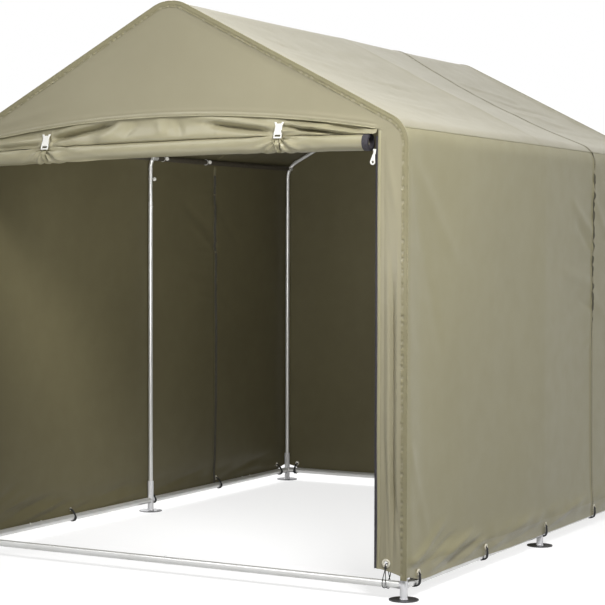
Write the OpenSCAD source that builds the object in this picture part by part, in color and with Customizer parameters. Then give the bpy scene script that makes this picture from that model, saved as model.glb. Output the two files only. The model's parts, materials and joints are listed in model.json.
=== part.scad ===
// Portable storage shelter: a steel tube frame of three gable frames under a fabric
// cover, with a roll-up door tied up under the front gable.
// X is the width, Y the depth with the door at -Y, and Z is up from the ground.

/* [Overall size] */
// Width over the cover
shed_w = 1830; // [1500:10:2400]
// Depth over the cover
shed_l = 2440; // [1800:10:3600]
// Height where the wall plane meets the roof plane
eave_h = 1545; // [1300:5:1900]
// Height where the two roof planes meet
ridge_h = 2015; // [1850:5:2400]

/* [Bends] */
// Outer radius of the cover over the eave
eave_r = 105; // [80:1:140]
// Outer radius of the cover over the ridge
apex_r = 150; // [100:1:200]

/* [Frame tubes] */
// Diameter of the posts, rafters and poles
pole_d = 19; // [17:0.5:24]
// Diameter of the base rails and the foot sleeves
rail_d = 25; // [24:0.5:32]
// Wall of every tube
tube_wall = 1; // [0.8:0.1:1.5]
// Radial clearance where one tube slides into another
fit_gap = 0.2; // [0.1:0.05:0.4]
// Gap left between two tube ends that meet
end_gap = 0.5; // [0.2:0.1:2]
// How far a connector leg goes into its tube
insert_l = 50; // [30:5:80]

/* [Connectors] */
// Bare length of an eave connector's leg, down from the eave corner
post_leg = 195; // [150:5:260]
// Bare length of an eave connector's leg, up the slope from the eave corner
rafter_leg = 178; // [150:1:260]
// Bare length of a ridge connector's leg, down the slope from the apex
ridge_leg = 160; // [130:1:260]

/* [Feet and base rails] */
// Diameter of a foot plate
disc_d = 98; // [70:1:120]
// Thickness of a foot plate
disc_t = 3; // [2:0.5:6]
// Height of a foot's sleeve above the ground
foot_h = 130; // [100:5:180]
// Height of the base rails' centre above the ground
rail_h = 48; // [35:1:70]
// Distance from a corner foot to the joint in a side rail
rail_joint = 400; // [300:10:500]

/* [Cover] */
// Thickness of the cover's panels
cover_t = 3; // [2:0.5:5]
// Clearance between the cover and the widest tube
cover_gap = 1; // [0.5:0.5:5]
// Height of the cover's hem above the ground
hem_h = 46; // [40:1:60]
// How far round the eave bend the roof's seam lies, in degrees
seam_turn = 31; // [10:1:45]

/* [Door] */
// Width of the doorway
door_w = 1614; // [1000:2:2200]
// Height of the front gable's hem at the sides of the doorway
gable_hem = 1532; // [1400:1:1800]
// Rise of the front gable's hem at the middle
gable_arch = 66; // [0:1:120]
// Height of the jambs' hem at the doorway
jamb_hem = 98; // [60:1:140]
// Height of the jambs' hem at the corner
corner_hem = 70; // [50:1:100]
// Diameter of the rolled-up door
roll_d = 56; // [40:1:90]
// Height of the middle of the rolled-up door
roll_h = 1478; // [1300:1:1700]
// How much lower the roll hangs at its left end than at its right
roll_fall = 22; // [0:1:60]
// Length of the fabric part of the roll
roll_l = 1496; // [900:2:2000]
// Length of the rolled zip edge at each end of the roll
roll_end_l = 33; // [15:1:50]
// Width of the zip tape beside the doorway
tape_w = 9; // [6:0.5:14]

/* [Door fittings] */
// Places of the two roll-up clips across the doorway
clip_x = [-525, 441]; // [-700:1:700]
// Height of a clip
clip_h = 57; // [40:1:80]
// Width of a clip across its horns
clip_w = 37; // [25:1:50]
// Thickness of a clip
clip_t = 4; // [2:0.5:6]
// Lean of a clip from the gable out to the roll, in degrees
clip_lean = 15; // [5:1:25]
// Height of the door's zip sliders
slider_h = 1458; // [1200:1:1500]

/* [Ties] */
// Outer diameter of a hem eyelet
eyelet_d = 22; // [16:1:30]
// Bore of a hem eyelet
eyelet_bore = 11; // [8:0.5:14]
// Height of the hem eyelets on the sides and the back
eyelet_h = 80; // [72:1:120]
// Height of the hem eyelets on the jambs
jamb_eyelet_h = 109; // [100:1:140]
// Distance of the jamb eyelets from the cover's side
jamb_eyelet_in = 65; // [40:1:90]
// Number of eyelets along each side
side_eyelets = 5; // [3:1:7]
// Distance of the end eyelets from the cover's corners
eyelet_end = 94; // [70:1:200]
// Number of eyelets across the back
back_eyelets = 4; // [2:1:6]
// Diameter of the cords that tie the hem to the base rails
cord_d = 4; // [2:0.5:5]
// Diameter of the balls on the ball bungees
ball_d = 22; // [18:1:30]
// Diameter of the ball bungees' cords
ball_cord_d = 2; // [1:0.5:2]
// Thickness of the fabric sleeves round the eave poles
sleeve_t = 1.3; // [1:0.1:2]

/* [Hidden] */
$fn = 48;

// Steps in each half of the cover's arc over the eave and over the ridge
eave_steps = 5;
apex_steps = 6;
// Steps in the arch of the front gable's hem
arch_steps = 16;
// Length past a face that a cutting shape runs
over = 5;

olive = [0.63, 0.61, 0.50];
pale_olive = [0.77, 0.76, 0.69];
white_steel = [0.90, 0.90, 0.88];
zinc = [0.33, 0.33, 0.34];
charcoal = [0.16, 0.15, 0.16];
sleeve_brown = [0.27, 0.25, 0.21];
white_plastic = [0.93, 0.93, 0.90];

slope = atan((ridge_h - eave_h) / (shed_w / 2));
// The frame's centre lines lie this far inside the cover's outer faces
inset = cover_t + cover_gap + rail_d / 2;
frame_x = shed_w / 2 - inset;
frame_y = shed_l / 2 - inset;
leg_d = pole_d - 2 * tube_wall - 2 * fit_gap;
stub_d = rail_d - 2 * tube_wall - 2 * fit_gap;
foot_wall = (rail_d - pole_d) / 2 - fit_gap;
sleeve_d = pole_d + 2 * (fit_gap + sleeve_t);

// The bends over the eave and the ridge share their centres at every inset
eave_cx = shed_w / 2 - eave_r;
eave_cz = eave_h + eave_r * tan(slope) - eave_r / cos(slope);
apex_cz = ridge_h - apex_r / cos(slope);
// The eave pole lies at the middle of the frame's eave bend
eave_turn = 90 - slope;
pole_x = eave_cx + (eave_r - inset) * cos(eave_turn / 2);
pole_z = eave_cz + (eave_r - inset) * sin(eave_turn / 2);
ridge_pole_z = apex_cz + apex_r - inset;
// Height of the sharp corner where a frame's post and rafter lines meet
corner_z = ridge_h - inset / cos(slope) - frame_x * tan(slope);
// Length of a rafter line, from the eave corner to the apex
slope_l = frame_x / cos(slope);
// How near the middle foot's axis a hem cord may run
foot_clear = rail_d / 2 + cord_d / 2 + 2.5;

function arc_points(cx, cz, r, from, to, steps) =
    [for (i = [0:steps]) let (a = from + (to - from) * i / steps) [cx + r * cos(a), cz + r * sin(a)]];
function apex_arc(d) = arc_points(0, apex_cz, apex_r - d, 90, 90 - slope, apex_steps);
function eave_arc(d, from, to) = arc_points(eave_cx, eave_cz, eave_r - d, from, to, eave_steps);
// The eave bend above and below the seam
function upper_eave_arc(d) = eave_arc(d, eave_turn, eave_turn - seam_turn);
function lower_eave_arc(d) = eave_arc(d, eave_turn - seam_turn, 0);
function backwards(points) = [for (i = [len(points) - 1:-1:0]) points[i]];
function tail(points) = [for (i = [1:len(points) - 1]) points[i]];
function mirrored(points) = [for (p = points) [-p[0], p[1]]];
// Height of the front gable's hem at a distance x from the middle
function arch_z(x) = gable_hem + gable_arch * (1 - pow(2 * x / door_w, 2));
// Tilt of the roll, and the height of its middle at a distance x from the doorway's middle
roll_tilt = atan(roll_fall / roll_l);
function roll_z(x) = roll_h + x * tan(roll_tilt);
// Places spread evenly over a length, with a distance left at each end
function places(length, end, count) =
    [for (i = [0:count - 1]) -length / 2 + end + (length - 2 * end) * i / (count - 1)];

// A tube from the origin up along Z
module tube(d, wall, length) {
    difference() {
        cylinder(d = d, h = length);
        translate([0, 0, -over])
            cylinder(d = d - 2 * wall, h = length + 2 * over);
    }
}

// A tube along Y between two places
module tube_y(d, wall, from, to) {
    translate([0, from, 0])
        rotate([-90, 0, 0])
            tube(d, wall, to - from);
}

// A tube along X between two places
module tube_x(d, wall, from, to) {
    translate([from, 0, 0])
        rotate([0, 90, 0])
            tube(d, wall, to - from);
}

// Extrudes an outline drawn in X and Z along Y
module along_y(from, to) {
    translate([0, to, 0])
        rotate([90, 0, 0])
            linear_extrude(height = to - from)
                children();
}

module both_sides() {
    children();
    mirror([1, 0, 0])
        children();
}

// ---- Feet and base rails ----

// A foot plate with its sleeve, and stubs for the rails that meet there
module foot(side, y, across, forward, back) {
    stub_l = rail_d / 2 + end_gap + insert_l;
    color(zinc)
        translate([side * frame_x, y, 0])
            difference() {
                union() {
                    cylinder(d = disc_d, h = disc_t);
                    cylinder(d = rail_d, h = foot_h);
                    translate([0, 0, rail_h]) {
                        if (across)
                            rotate([0, -side * 90, 0])
                                cylinder(d = stub_d, h = stub_l);
                        if (forward)
                            rotate([90, 0, 0])
                                cylinder(d = stub_d, h = stub_l);
                        if (back)
                            rotate([-90, 0, 0])
                                cylinder(d = stub_d, h = stub_l);
                    }
                }
                translate([0, 0, disc_t])
                    cylinder(d = rail_d - 2 * foot_wall, h = foot_h);
            }
}

// A rail section along Y, with a spigot for the next section if it has one
module rail_section_y(from, to, spigot) {
    tube_y(rail_d, tube_wall, from, to);
    if (spigot != 0) {
        root = spigot > 0 ? to : from;
        near = root - spigot * insert_l;
        far = root + spigot * insert_l;
        tube_y(stub_d + 2 * fit_gap, 2 * tube_wall, min(near, root), max(near, root));
        tube_y(stub_d, tube_wall, min(root, far), max(root, far));
    }
}

module side_rails(side) {
    start = rail_d / 2 + end_gap;
    joint_y = frame_y - rail_joint;
    color(white_steel)
        translate([side * frame_x, 0, rail_h]) {
            rail_section_y(-frame_y + start, -joint_y - end_gap, 0);
            rail_section_y(-joint_y, -start, -1);
            rail_section_y(start, joint_y, 1);
            rail_section_y(joint_y + end_gap, frame_y - start, 0);
        }
}

module end_rail(y) {
    start = frame_x - rail_d / 2 - end_gap;
    color(white_steel)
        translate([0, y, rail_h]) {
            tube_x(rail_d, tube_wall, -start, -end_gap);
            tube_x(rail_d, tube_wall, 0, start);
            tube_x(stub_d + 2 * fit_gap, 2 * tube_wall, 0, insert_l);
            tube_x(stub_d, tube_wall, -insert_l, 0);
        }
}

// ---- Posts, rafters and poles ----

module post(side, y) {
    bottom = disc_t + end_gap;
    color(white_steel)
        translate([side * frame_x, y, bottom])
            tube(pole_d, tube_wall, corner_z - post_leg - bottom);
}

// Places what follows at a frame's right eave corner, with +Z up the slope
module up_slope(y) {
    translate([frame_x, y, corner_z])
        rotate([0, slope - 90, 0])
            children();
}

module rafters(y) {
    color(white_steel)
        both_sides()
            up_slope(y)
                translate([0, 0, rafter_leg + end_gap])
                    tube(pole_d, tube_wall, slope_l - rafter_leg - ridge_leg - 2 * end_gap);
}

// A connector's bent tube in the XZ plane, with a straight leg at each end
module bent_tube(cx, cz, r, from, turn, first_leg, last_leg) {
    translate([cx, 0, cz])
        rotate([90, 0, 0])
            rotate([0, 0, from]) {
                rotate_extrude(angle = turn)
                    translate([r, 0])
                        difference() {
                            circle(d = leg_d);
                            circle(d = leg_d - 2 * tube_wall);
                        }
                translate([r, 0, 0])
                    rotate([90, 0, 0])
                        connector_leg(first_leg);
                rotate([0, 0, turn])
                    translate([r, 0, 0])
                        rotate([-90, 0, 0])
                            connector_leg(last_leg);
            }
}

// A straight leg with the weld ring that joins it to its bend
module connector_leg(length) {
    ring_l = 3;
    ring_t = 0.8;
    translate([0, 0, -ring_l])
        cylinder(d = leg_d + 2 * ring_t, h = 2 * ring_l + end_gap);
    translate([0, 0, end_gap])
        tube(leg_d, tube_wall, length - end_gap);
}

// A corner piece: bent tube, a leg down into the post, a leg up into the rafter,
// and a stub along Y for each eave pole that meets it
module eave_connector(forward, back) {
    r = eave_r - inset;
    // Distance from the sharp corner to where each leg starts
    tangent = r * tan(eave_turn / 2);
    down = post_leg - tangent + insert_l;
    up = rafter_leg - tangent + insert_l;
    bent_tube(eave_cx, eave_cz, r, 0, eave_turn, down, up);
    translate([pole_x, 0, pole_z])
        pole_hub(forward, back);
}

// The hub on a connector's bend, with a stub for each pole that meets it
module pole_hub(forward, back) {
    // The hub stands this far outside the bent tube, all round and at its ends
    wrap = 2.7;
    face = leg_d / 2 + 1;
    reach = pole_d / 2 + end_gap + insert_l;
    rotate([90, 0, 0])
        translate([0, 0, -face])
            cylinder(d = leg_d + 2 * wrap, h = 2 * face);
    if (forward)
        tube_y(leg_d, tube_wall, -reach, -face);
    if (back)
        tube_y(leg_d, tube_wall, face, reach);
}

module eave_connectors(y, forward, back) {
    color(white_steel)
        both_sides()
            translate([0, y, 0])
                eave_connector(forward, back);
}

module ridge_connector(y, forward, back) {
    r = apex_r - inset;
    leg = ridge_leg - r * tan(slope) + insert_l;
    color(white_steel)
        translate([0, y, 0]) {
            bent_tube(0, apex_cz, r, 90 - slope, 2 * slope, leg, leg);
            translate([0, 0, ridge_pole_z])
                pole_hub(forward, back);
        }
}

// The two poles of one line, from frame to frame
module pole_line() {
    start = pole_d / 2 + end_gap;
    tube_y(pole_d, tube_wall, -frame_y + start, -start);
    tube_y(pole_d, tube_wall, start, frame_y - start);
}

module ridge_poles() {
    color(white_steel)
        translate([0, 0, ridge_pole_z])
            pole_line();
}

module eave_poles() {
    color(white_steel)
        both_sides()
            translate([pole_x, 0, pole_z])
                pole_line();
}

// Fabric sleeves round the eave poles, clear of the frames
module eave_sleeves() {
    clear = 30;
    color(sleeve_brown)
        both_sides()
            translate([pole_x, 0, pole_z])
                for (y = [[-frame_y + clear, -clear], [clear, frame_y - clear]])
                    tube_y(sleeve_d, sleeve_t, y[0], y[1]);
}

// ---- Cover ----

// One slope of the roof, from the ridge to the seam in the eave bend
module roof_slope() {
    outer = concat(apex_arc(0), upper_eave_arc(0));
    inner = concat(apex_arc(cover_t), upper_eave_arc(cover_t));
    color(pale_olive)
        along_y(-shed_l / 2, shed_l / 2)
            polygon(concat(outer, backwards(inner)));
}

// The right wall, from the seam in the eave bend to the hem
module side_wall() {
    outer = concat(lower_eave_arc(0), [[shed_w / 2, hem_h]]);
    inner = concat(lower_eave_arc(cover_t), [[shed_w / 2 - cover_t, hem_h]]);
    color(olive)
        difference() {
            along_y(-shed_l / 2, shed_l / 2)
                polygon(concat(outer, backwards(inner)));
            for (y = places(shed_l, eyelet_end, side_eyelets))
                translate([shed_w / 2 - cover_t - over, beside_foot(y), eyelet_h])
                    rotate([0, 90, 0])
                        cylinder(d = eyelet_hole(), h = cover_t + 2 * over);
        }
}

// Diameter of the hole in the cover that an eyelet sits in
function eyelet_hole() = (eyelet_d + eyelet_bore) / 2;

// A place along the side, moved so that its cord runs beside the middle foot
function beside_foot(y) = abs(y) < foot_clear ? foot_clear : y;

// Outline of the shelter's end, inside the roof and the side walls
module end_outline(bottom) {
    arcs = concat(apex_arc(cover_t), upper_eave_arc(cover_t), tail(lower_eave_arc(cover_t)));
    half = concat(arcs, [[shed_w / 2 - cover_t, bottom]]);
    polygon(concat(half, backwards(tail(mirrored(half)))));
}

module rear_wall() {
    color(olive)
        difference() {
            along_y(shed_l / 2 - cover_t, shed_l / 2)
                end_outline(hem_h);
            for (x = places(shed_w, jamb_eyelet_in, back_eyelets))
                end_hole(x, shed_l / 2, eyelet_h);
        }
}

// A hole for an eyelet, right through an end of the cover
module end_hole(x, y, z) {
    translate([x, y - cover_t - over, z])
        rotate([-90, 0, 0])
            cylinder(d = eyelet_hole(), h = 2 * (cover_t + over));
}

// The area under the arched hem of the front gable
module under_arch() {
    half = shed_w / 2;
    arch = [for (i = [0:arch_steps])
        let (x = -door_w / 2 + door_w * i / arch_steps) [x, arch_z(x)]];
    polygon(concat([[-half, 0], [-half, gable_hem]], arch, [[half, gable_hem], [half, 0]]));
}

module front_gable() {
    color(olive)
        along_y(-shed_l / 2, -shed_l / 2 + cover_t)
            difference() {
                end_outline(hem_h);
                under_arch();
            }
}

// The strip of cover beside the doorway, with a hem that rises to the doorway
module jamb() {
    half = shed_w / 2;
    color(olive)
        difference() {
            along_y(-shed_l / 2, -shed_l / 2 + cover_t)
                intersection() {
                    end_outline(0);
                    polygon([
                        [door_w / 2, jamb_hem], [half, corner_hem],
                        [half, gable_hem], [door_w / 2, gable_hem]
                    ]);
                }
            end_hole(half - jamb_eyelet_in, -shed_l / 2, jamb_eyelet_h);
        }
}

// ---- Door ----

// The loose part of the door between the gable's hem and the roll, between the zip tapes
module door_drape() {
    over_roll = roll_d / 2 / cos(roll_tilt);
    top_half = door_w / 2 - tape_w;
    bottom_half = roll_l / 2 + roll_end_l;
    arch = [for (i = [0:arch_steps])
        let (x = top_half * (2 * i / arch_steps - 1)) [x, arch_z(x)]];
    color(olive)
        along_y(-shed_l / 2, -shed_l / 2 + cover_t)
            polygon(concat(
                [[-bottom_half, roll_z(-bottom_half) + over_roll]], arch,
                [[bottom_half, roll_z(bottom_half) + over_roll]]));
}

// Places what follows on the roll's axis, with +Z along it to the right
module on_roll(along) {
    translate([0, -shed_l / 2 + cover_t / 2, roll_h])
        rotate([0, 90 - roll_tilt, 0])
            translate([0, 0, along])
                children();
}

module door_roll() {
    color(olive)
        on_roll(-roll_l / 2)
            cylinder(d = roll_d, h = roll_l);
}

// The rolled zip edges: short dark rings at the roll's ends
module door_roll_ends() {
    wall = 9;
    color(charcoal)
        for (along = [-roll_l / 2 - roll_end_l, roll_l / 2])
            on_roll(along)
                tube(roll_d, wall, roll_end_l);
}

// Outline of a clip with its foot at the origin: a waisted plate with two horns
module clip_outline() {
    foot_w = 32;
    waist_w = 26;
    waist_h = 0.76 * clip_h;
    horn_w = 9;
    dip = 5;
    slot_w = 19;
    slot_h = 7;
    slot_z = 6;
    difference() {
        polygon([
            [-foot_w / 2, 0], [foot_w / 2, 0], [waist_w / 2, waist_h],
            [clip_w / 2, clip_h], [clip_w / 2 - horn_w, clip_h], [clip_w / 2 - horn_w, clip_h - dip],
            [-clip_w / 2 + horn_w, clip_h - dip], [-clip_w / 2 + horn_w, clip_h], [-clip_w / 2, clip_h],
            [-waist_w / 2, waist_h]
        ]);
        translate([-slot_w / 2, slot_z])
            square([slot_w, slot_h]);
        for (side = [-1, 1])
            translate([side * slot_w / 2, slot_z + slot_h / 2])
                circle(d = slot_h);
    }
}

module door_clips() {
    // The clip's foot hangs this far below the top of the roll
    lap = 8;
    // The clip's head stands this far in front of the gable
    stand = 4;
    color(white_plastic)
        for (x = clip_x)
            translate([x, -shed_l / 2 - stand - clip_h * sin(clip_lean), roll_z(x) + roll_d / 2 - lap])
                rotate([90 - clip_lean, 0, 0])
                    linear_extrude(height = clip_t)
                        clip_outline();
}

module zip_tapes() {
    tape_t = 2;
    color(charcoal)
        both_sides()
            translate([door_w / 2 - tape_w, -shed_l / 2 + (cover_t - tape_t) / 2, jamb_hem])
                cube([tape_w, tape_t, gable_hem - jamb_hem]);
}

// A slider on the zip tape, with a pull that hangs from it
module zip_pulls() {
    slider = [10, 5, 17];
    pull_l = 36;
    pull_t = 2.5;
    pull_w = 16;
    neck_w = 7;
    eye_d = 8;
    color(white_plastic)
        both_sides()
            translate([door_w / 2 - tape_w, -shed_l / 2, slider_h]) {
                translate([-slider[0] / 2, -slider[1], -slider[2] / 2])
                    cube(slider);
                translate([-slider[0] / 2, -slider[1], -slider[2] / 2])
                    along_y(-pull_t, 0)
                        difference() {
                            union() {
                                translate([slider[0] / 2, -pull_l + pull_w / 2])
                                    circle(d = pull_w);
                                polygon([
                                    [(slider[0] - pull_w) / 2, -pull_l + pull_w / 2],
                                    [(slider[0] + pull_w) / 2, -pull_l + pull_w / 2],
                                    [(slider[0] + neck_w) / 2, slider[2] / 2],
                                    [(slider[0] - neck_w) / 2, slider[2] / 2]
                                ]);
                            }
                            translate([slider[0] / 2, -pull_l + pull_w / 2])
                                circle(d = eye_d);
                        }
            }
}

// ---- Ties ----

// An eyelet through a panel whose outer face is at X = 0, seen from +X
module eyelet() {
    flange_t = 1.2;
    rotate([0, 90, 0])
        difference() {
            union() {
                cylinder(d = eyelet_d, h = flange_t);
                translate([0, 0, -cover_t])
                    cylinder(d = eyelet_hole(), h = cover_t);
                translate([0, 0, -cover_t - flange_t])
                    cylinder(d = eyelet_d, h = flange_t);
            }
            translate([0, 0, -cover_t - over])
                cylinder(d = eyelet_bore, h = cover_t + 2 * over);
        }
}

// A cord through an eyelet of that height and round the rail inside it, as a flat loop
module hem_cord(height) {
    // The cord's line stands this far outside the panel and this far round the rail
    stand = cord_d / 2 + 1.7;
    outer = inset + stand + cord_d / 2;
    inner = outer - cord_d;
    top = height - rail_h + cord_d / 2;
    translate([-inset, 0, rail_h])
        along_y(-cord_d / 2, cord_d / 2)
            difference() {
                union() {
                    circle(r = outer);
                    polygon([[-outer, 0], [outer, 0], [outer, top], [0, top]]);
                }
                circle(r = inner);
                polygon([[-inner, 0], [inner, 0], [inner, top - cord_d], [0, top - cord_d]]);
            }
}

// Places what follows at every eyelet; +X is out through the panel
module at_eyelets() {
    both_sides()
        for (y = places(shed_l, eyelet_end, side_eyelets))
            translate([shed_w / 2, beside_foot(y), 0])
                children(0);
    for (x = places(shed_w, jamb_eyelet_in, back_eyelets))
        translate([x, shed_l / 2, 0])
            rotate([0, 0, 90])
                children(0);
    for (side = [-1, 1])
        translate([side * (shed_w / 2 - jamb_eyelet_in), -shed_l / 2, 0])
            rotate([0, 0, -90])
                children(1);
}

module hem_eyelets() {
    color(white_plastic)
        at_eyelets() {
            translate([0, 0, eyelet_h])
                eyelet();
            translate([0, 0, jamb_eyelet_h])
                eyelet();
        }
}

module hem_cords() {
    color(charcoal)
        at_eyelets() {
            hem_cord(eyelet_h);
            hem_cord(jamb_eyelet_h);
        }
}

// A cord ring round a tube of that diameter along Y, with its ball just inside
module ball_on_ring(d) {
    ring_d = d + 2 * fit_gap + 2 * ball_cord_d;
    tube_y(ring_d, ball_cord_d, -ball_cord_d / 2, ball_cord_d / 2);
    translate([-(ring_d + ball_d) / 2 - fit_gap, 0, 0])
        sphere(d = ball_d);
}

module ball_bungees() {
    // Places of the balls along the eave poles
    along = [76, 426];
    // Place of the ball on the middle frame's connector leg
    leg_drop = 90;
    color(white_plastic)
        both_sides() {
            for (y = along)
                translate([pole_x, y, pole_z])
                    ball_on_ring(sleeve_d);
            translate([frame_x, 0, pole_z - leg_drop])
                rotate([90, 0, 0])
                    ball_on_ring(leg_d);
        }
}

// ---- Nodes ----

foot(-1, -frame_y, true, false, true);  // foot_front_left
foot(1, -frame_y, true, false, true);  // foot_front_right
foot(-1, 0, false, true, true);  // foot_mid_left
foot(1, 0, false, true, true);  // foot_mid_right
foot(-1, frame_y, true, true, false);  // foot_rear_left
foot(1, frame_y, true, true, false);  // foot_rear_right
post(-1, -frame_y);  // post_front_left
post(1, -frame_y);  // post_front_right
post(-1, 0);  // post_mid_left
post(1, 0);  // post_mid_right
post(-1, frame_y);  // post_rear_left
post(1, frame_y);  // post_rear_right
eave_connectors(-frame_y, false, true);  // eave_connectors_front
eave_connectors(0, true, true);  // eave_connectors_mid
eave_connectors(frame_y, true, false);  // eave_connectors_rear
ridge_connector(-frame_y, false, true);  // ridge_connector_front
ridge_connector(0, true, true);  // ridge_connector_mid
ridge_connector(frame_y, true, false);  // ridge_connector_rear
rafters(-frame_y);  // rafters_front
rafters(0);  // rafters_mid
rafters(frame_y);  // rafters_rear
ridge_poles();
eave_poles();
eave_sleeves();
end_rail(-frame_y);  // base_rail_front
end_rail(frame_y);  // base_rail_rear
side_rails(-1);  // base_rails_left
side_rails(1);  // base_rails_right
mirror([1, 0, 0]) roof_slope();  // roof_left
roof_slope();  // roof_right
mirror([1, 0, 0]) side_wall();  // left_wall
side_wall();  // right_wall
rear_wall();
front_gable();
mirror([1, 0, 0]) jamb();  // front_left_jamb
jamb();  // front_right_jamb
door_drape();
door_roll();
door_roll_ends();
door_clips();
zip_tapes();
zip_pulls();
hem_eyelets();
hem_cords();
ball_bungees();
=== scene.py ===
"""Looks of a portable fabric storage shelter, built round its packed steel frame.

The cover, the rolled-up door, the trims and the ties are modelled here. The tubes, the
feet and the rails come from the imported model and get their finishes. Sizes are in metres.
"""

import json
import logging
import math
from dataclasses import dataclass
from enum import Enum
from typing import Callable, Dict, List, Optional, Sequence, Tuple, Union

import bpy
from mathutils import Matrix, Vector, noise

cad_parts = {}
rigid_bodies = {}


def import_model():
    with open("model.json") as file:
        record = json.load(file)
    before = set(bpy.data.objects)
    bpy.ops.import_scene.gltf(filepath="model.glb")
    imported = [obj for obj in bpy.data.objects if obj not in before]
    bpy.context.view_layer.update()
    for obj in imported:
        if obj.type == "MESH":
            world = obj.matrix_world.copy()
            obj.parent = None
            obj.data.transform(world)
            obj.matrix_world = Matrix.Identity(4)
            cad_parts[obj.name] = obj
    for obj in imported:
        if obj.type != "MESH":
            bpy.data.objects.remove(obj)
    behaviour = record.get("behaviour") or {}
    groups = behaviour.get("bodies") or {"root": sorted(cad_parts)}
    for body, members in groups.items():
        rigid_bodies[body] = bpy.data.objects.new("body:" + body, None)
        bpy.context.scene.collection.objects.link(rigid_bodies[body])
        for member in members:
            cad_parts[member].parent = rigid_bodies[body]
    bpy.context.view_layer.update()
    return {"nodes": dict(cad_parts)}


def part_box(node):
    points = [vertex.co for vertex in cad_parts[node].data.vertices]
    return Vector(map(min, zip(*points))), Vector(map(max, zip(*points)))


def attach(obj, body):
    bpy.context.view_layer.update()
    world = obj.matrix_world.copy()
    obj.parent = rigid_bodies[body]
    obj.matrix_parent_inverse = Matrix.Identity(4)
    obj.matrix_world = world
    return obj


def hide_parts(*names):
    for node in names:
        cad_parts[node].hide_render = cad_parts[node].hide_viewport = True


LOG = logging.getLogger("shelter")

Colour = Tuple[float, float, float, float]
Spot = Tuple[float, float, float]
Surface = Callable[[float, float], Vector]
Piece = bpy.types.Object

WHITE: Colour = (1.0, 1.0, 1.0, 1.0)
FRAMES = ("front", "mid", "rear")
ALONG_X = Vector((1, 0, 0))
ALONG_Y = Vector((0, 1, 0))
ALONG_Z = Vector((0, 0, 1))


class Slot(Enum):
    """The record's material slots."""

    STEEL = "frame_steel"
    FOOT = "foot_steel"
    COVER = "cover_cloth"
    SLEEVE = "sleeve_cloth"
    ZIP = "zip_tape"
    CORD = "black_cord"
    PLASTIC = "white_plastic"


class Sign(Enum):
    """A direction along an axis, which names the pieces that lie there."""

    @property
    def word(self) -> str:
        """The direction's name, as it stands in the name of a piece."""
        return self.name.lower()


class Side(Sign):
    """The two sides of the shelter, with the sign of X there."""

    LEFT = -1
    RIGHT = 1


class End(Sign):
    """The two ends of the shelter, with the sign of Y there."""

    FRONT = -1
    BACK = 1


def tint(red: int, green: int, blue: int) -> Colour:
    """Turns a screen colour into a linear one.

    Args:
        red: Red from 0 to 255.
        green: Green from 0 to 255.
        blue: Blue from 0 to 255.

    Returns:
        The linear colour, with an alpha of 1.
    """
    linear = []
    for part in (red, green, blue):
        share = part / 255
        linear.append(share / 12.92 if share <= 0.04045 else ((share + 0.055) / 1.055) ** 2.4)
    return (linear[0], linear[1], linear[2], 1.0)


def swell(value: float) -> float:
    """Eases a share from 0 to 1 with flat ends."""
    share = min(1.0, max(0.0, value))
    return share * share * (3 - 2 * share)


def mound(distance: float, reach: float) -> float:
    """A smooth bump: 1 at no distance, and nearly 0 beyond two reaches."""
    return math.exp(-((distance / reach) ** 2))


def ripple(x: float, y: float, seed: float) -> float:
    """Smooth unevenness of about -1 to 1 over a plane, the same each run."""
    return noise.noise(Vector((x, y, seed)))


def stations(
    start: float, end: float, step: float, close: Sequence[Tuple[float, float, float]] = ()
) -> List[float]:
    """Places along a line, closer together where the cloth has fine shapes.

    Args:
        start: The first place.
        end: The last place.
        step: The widest spacing.
        close: For each fine place: where it is, how far it reaches, and its spacing.

    Returns:
        The places in order, both ends among them.
    """
    places = [start]
    while places[-1] < end - 1e-9:
        here = places[-1]
        size = step
        for place, reach, fine in close:
            size = min(size, fine + max(0.0, abs(here - place) - reach) * 0.3)
        places.append(min(end, here + size))
    if len(places) > 2 and places[-1] - places[-2] < 0.3 * (places[-2] - places[-3]):
        del places[-2]
    return places


def both_ways(half: Sequence[float]) -> List[float]:
    """Places from 0 outwards, with the same places on the other side of 0."""
    return [-place for place in reversed(half)] + list(half[1:])


def circle(middle: Vector, first: Vector, second: Vector, count: int) -> List[Vector]:
    """Places round the circle that two spokes span, from the first to the second."""
    turns = [2 * math.pi * step / count for step in range(count)]
    return [middle + first * math.cos(turn) + second * math.sin(turn) for turn in turns]


# ---- Finishes ----


class Wire:
    """A node's output that adds Math nodes when it is used in arithmetic."""

    def __init__(self, coat: "Coat", socket: bpy.types.NodeSocket) -> None:
        """Keeps the socket and the tree that it belongs to."""
        self.coat = coat
        self.socket = socket

    def _math(self, operation: str, first: "Value", second: "Value") -> "Wire":
        """Adds one Math node with two values."""
        return self.coat.node("ShaderNodeMath", {"operation": operation}, {0: first, 1: second})

    def __add__(self, other: "Value") -> "Wire":
        """Adds."""
        return self._math("ADD", self, other)

    __radd__ = __add__

    def __sub__(self, other: "Value") -> "Wire":
        """Subtracts."""
        return self._math("SUBTRACT", self, other)

    def __rsub__(self, other: "Value") -> "Wire":
        """Is subtracted from a number."""
        return self._math("SUBTRACT", other, self)

    def __mul__(self, other: "Value") -> "Wire":
        """Multiplies."""
        return self._math("MULTIPLY", self, other)

    __rmul__ = __mul__

    def above(self, level: "Value") -> "Wire":
        """1 where this is over a level, else 0."""
        return self._math("GREATER_THAN", self, level)

    def sine(self) -> "Wire":
        """The sine."""
        return self._math("SINE", self, 0.0)

    def between(self, low: float, high: float) -> "Wire":
        """A share from 0 at low to 1 at high, held to that range."""
        sockets = {"Value": self, "From Min": low, "From Max": high}
        return self.coat.node("ShaderNodeMapRange", {"clamp": True}, sockets)


Value = Union[float, Wire]


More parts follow.
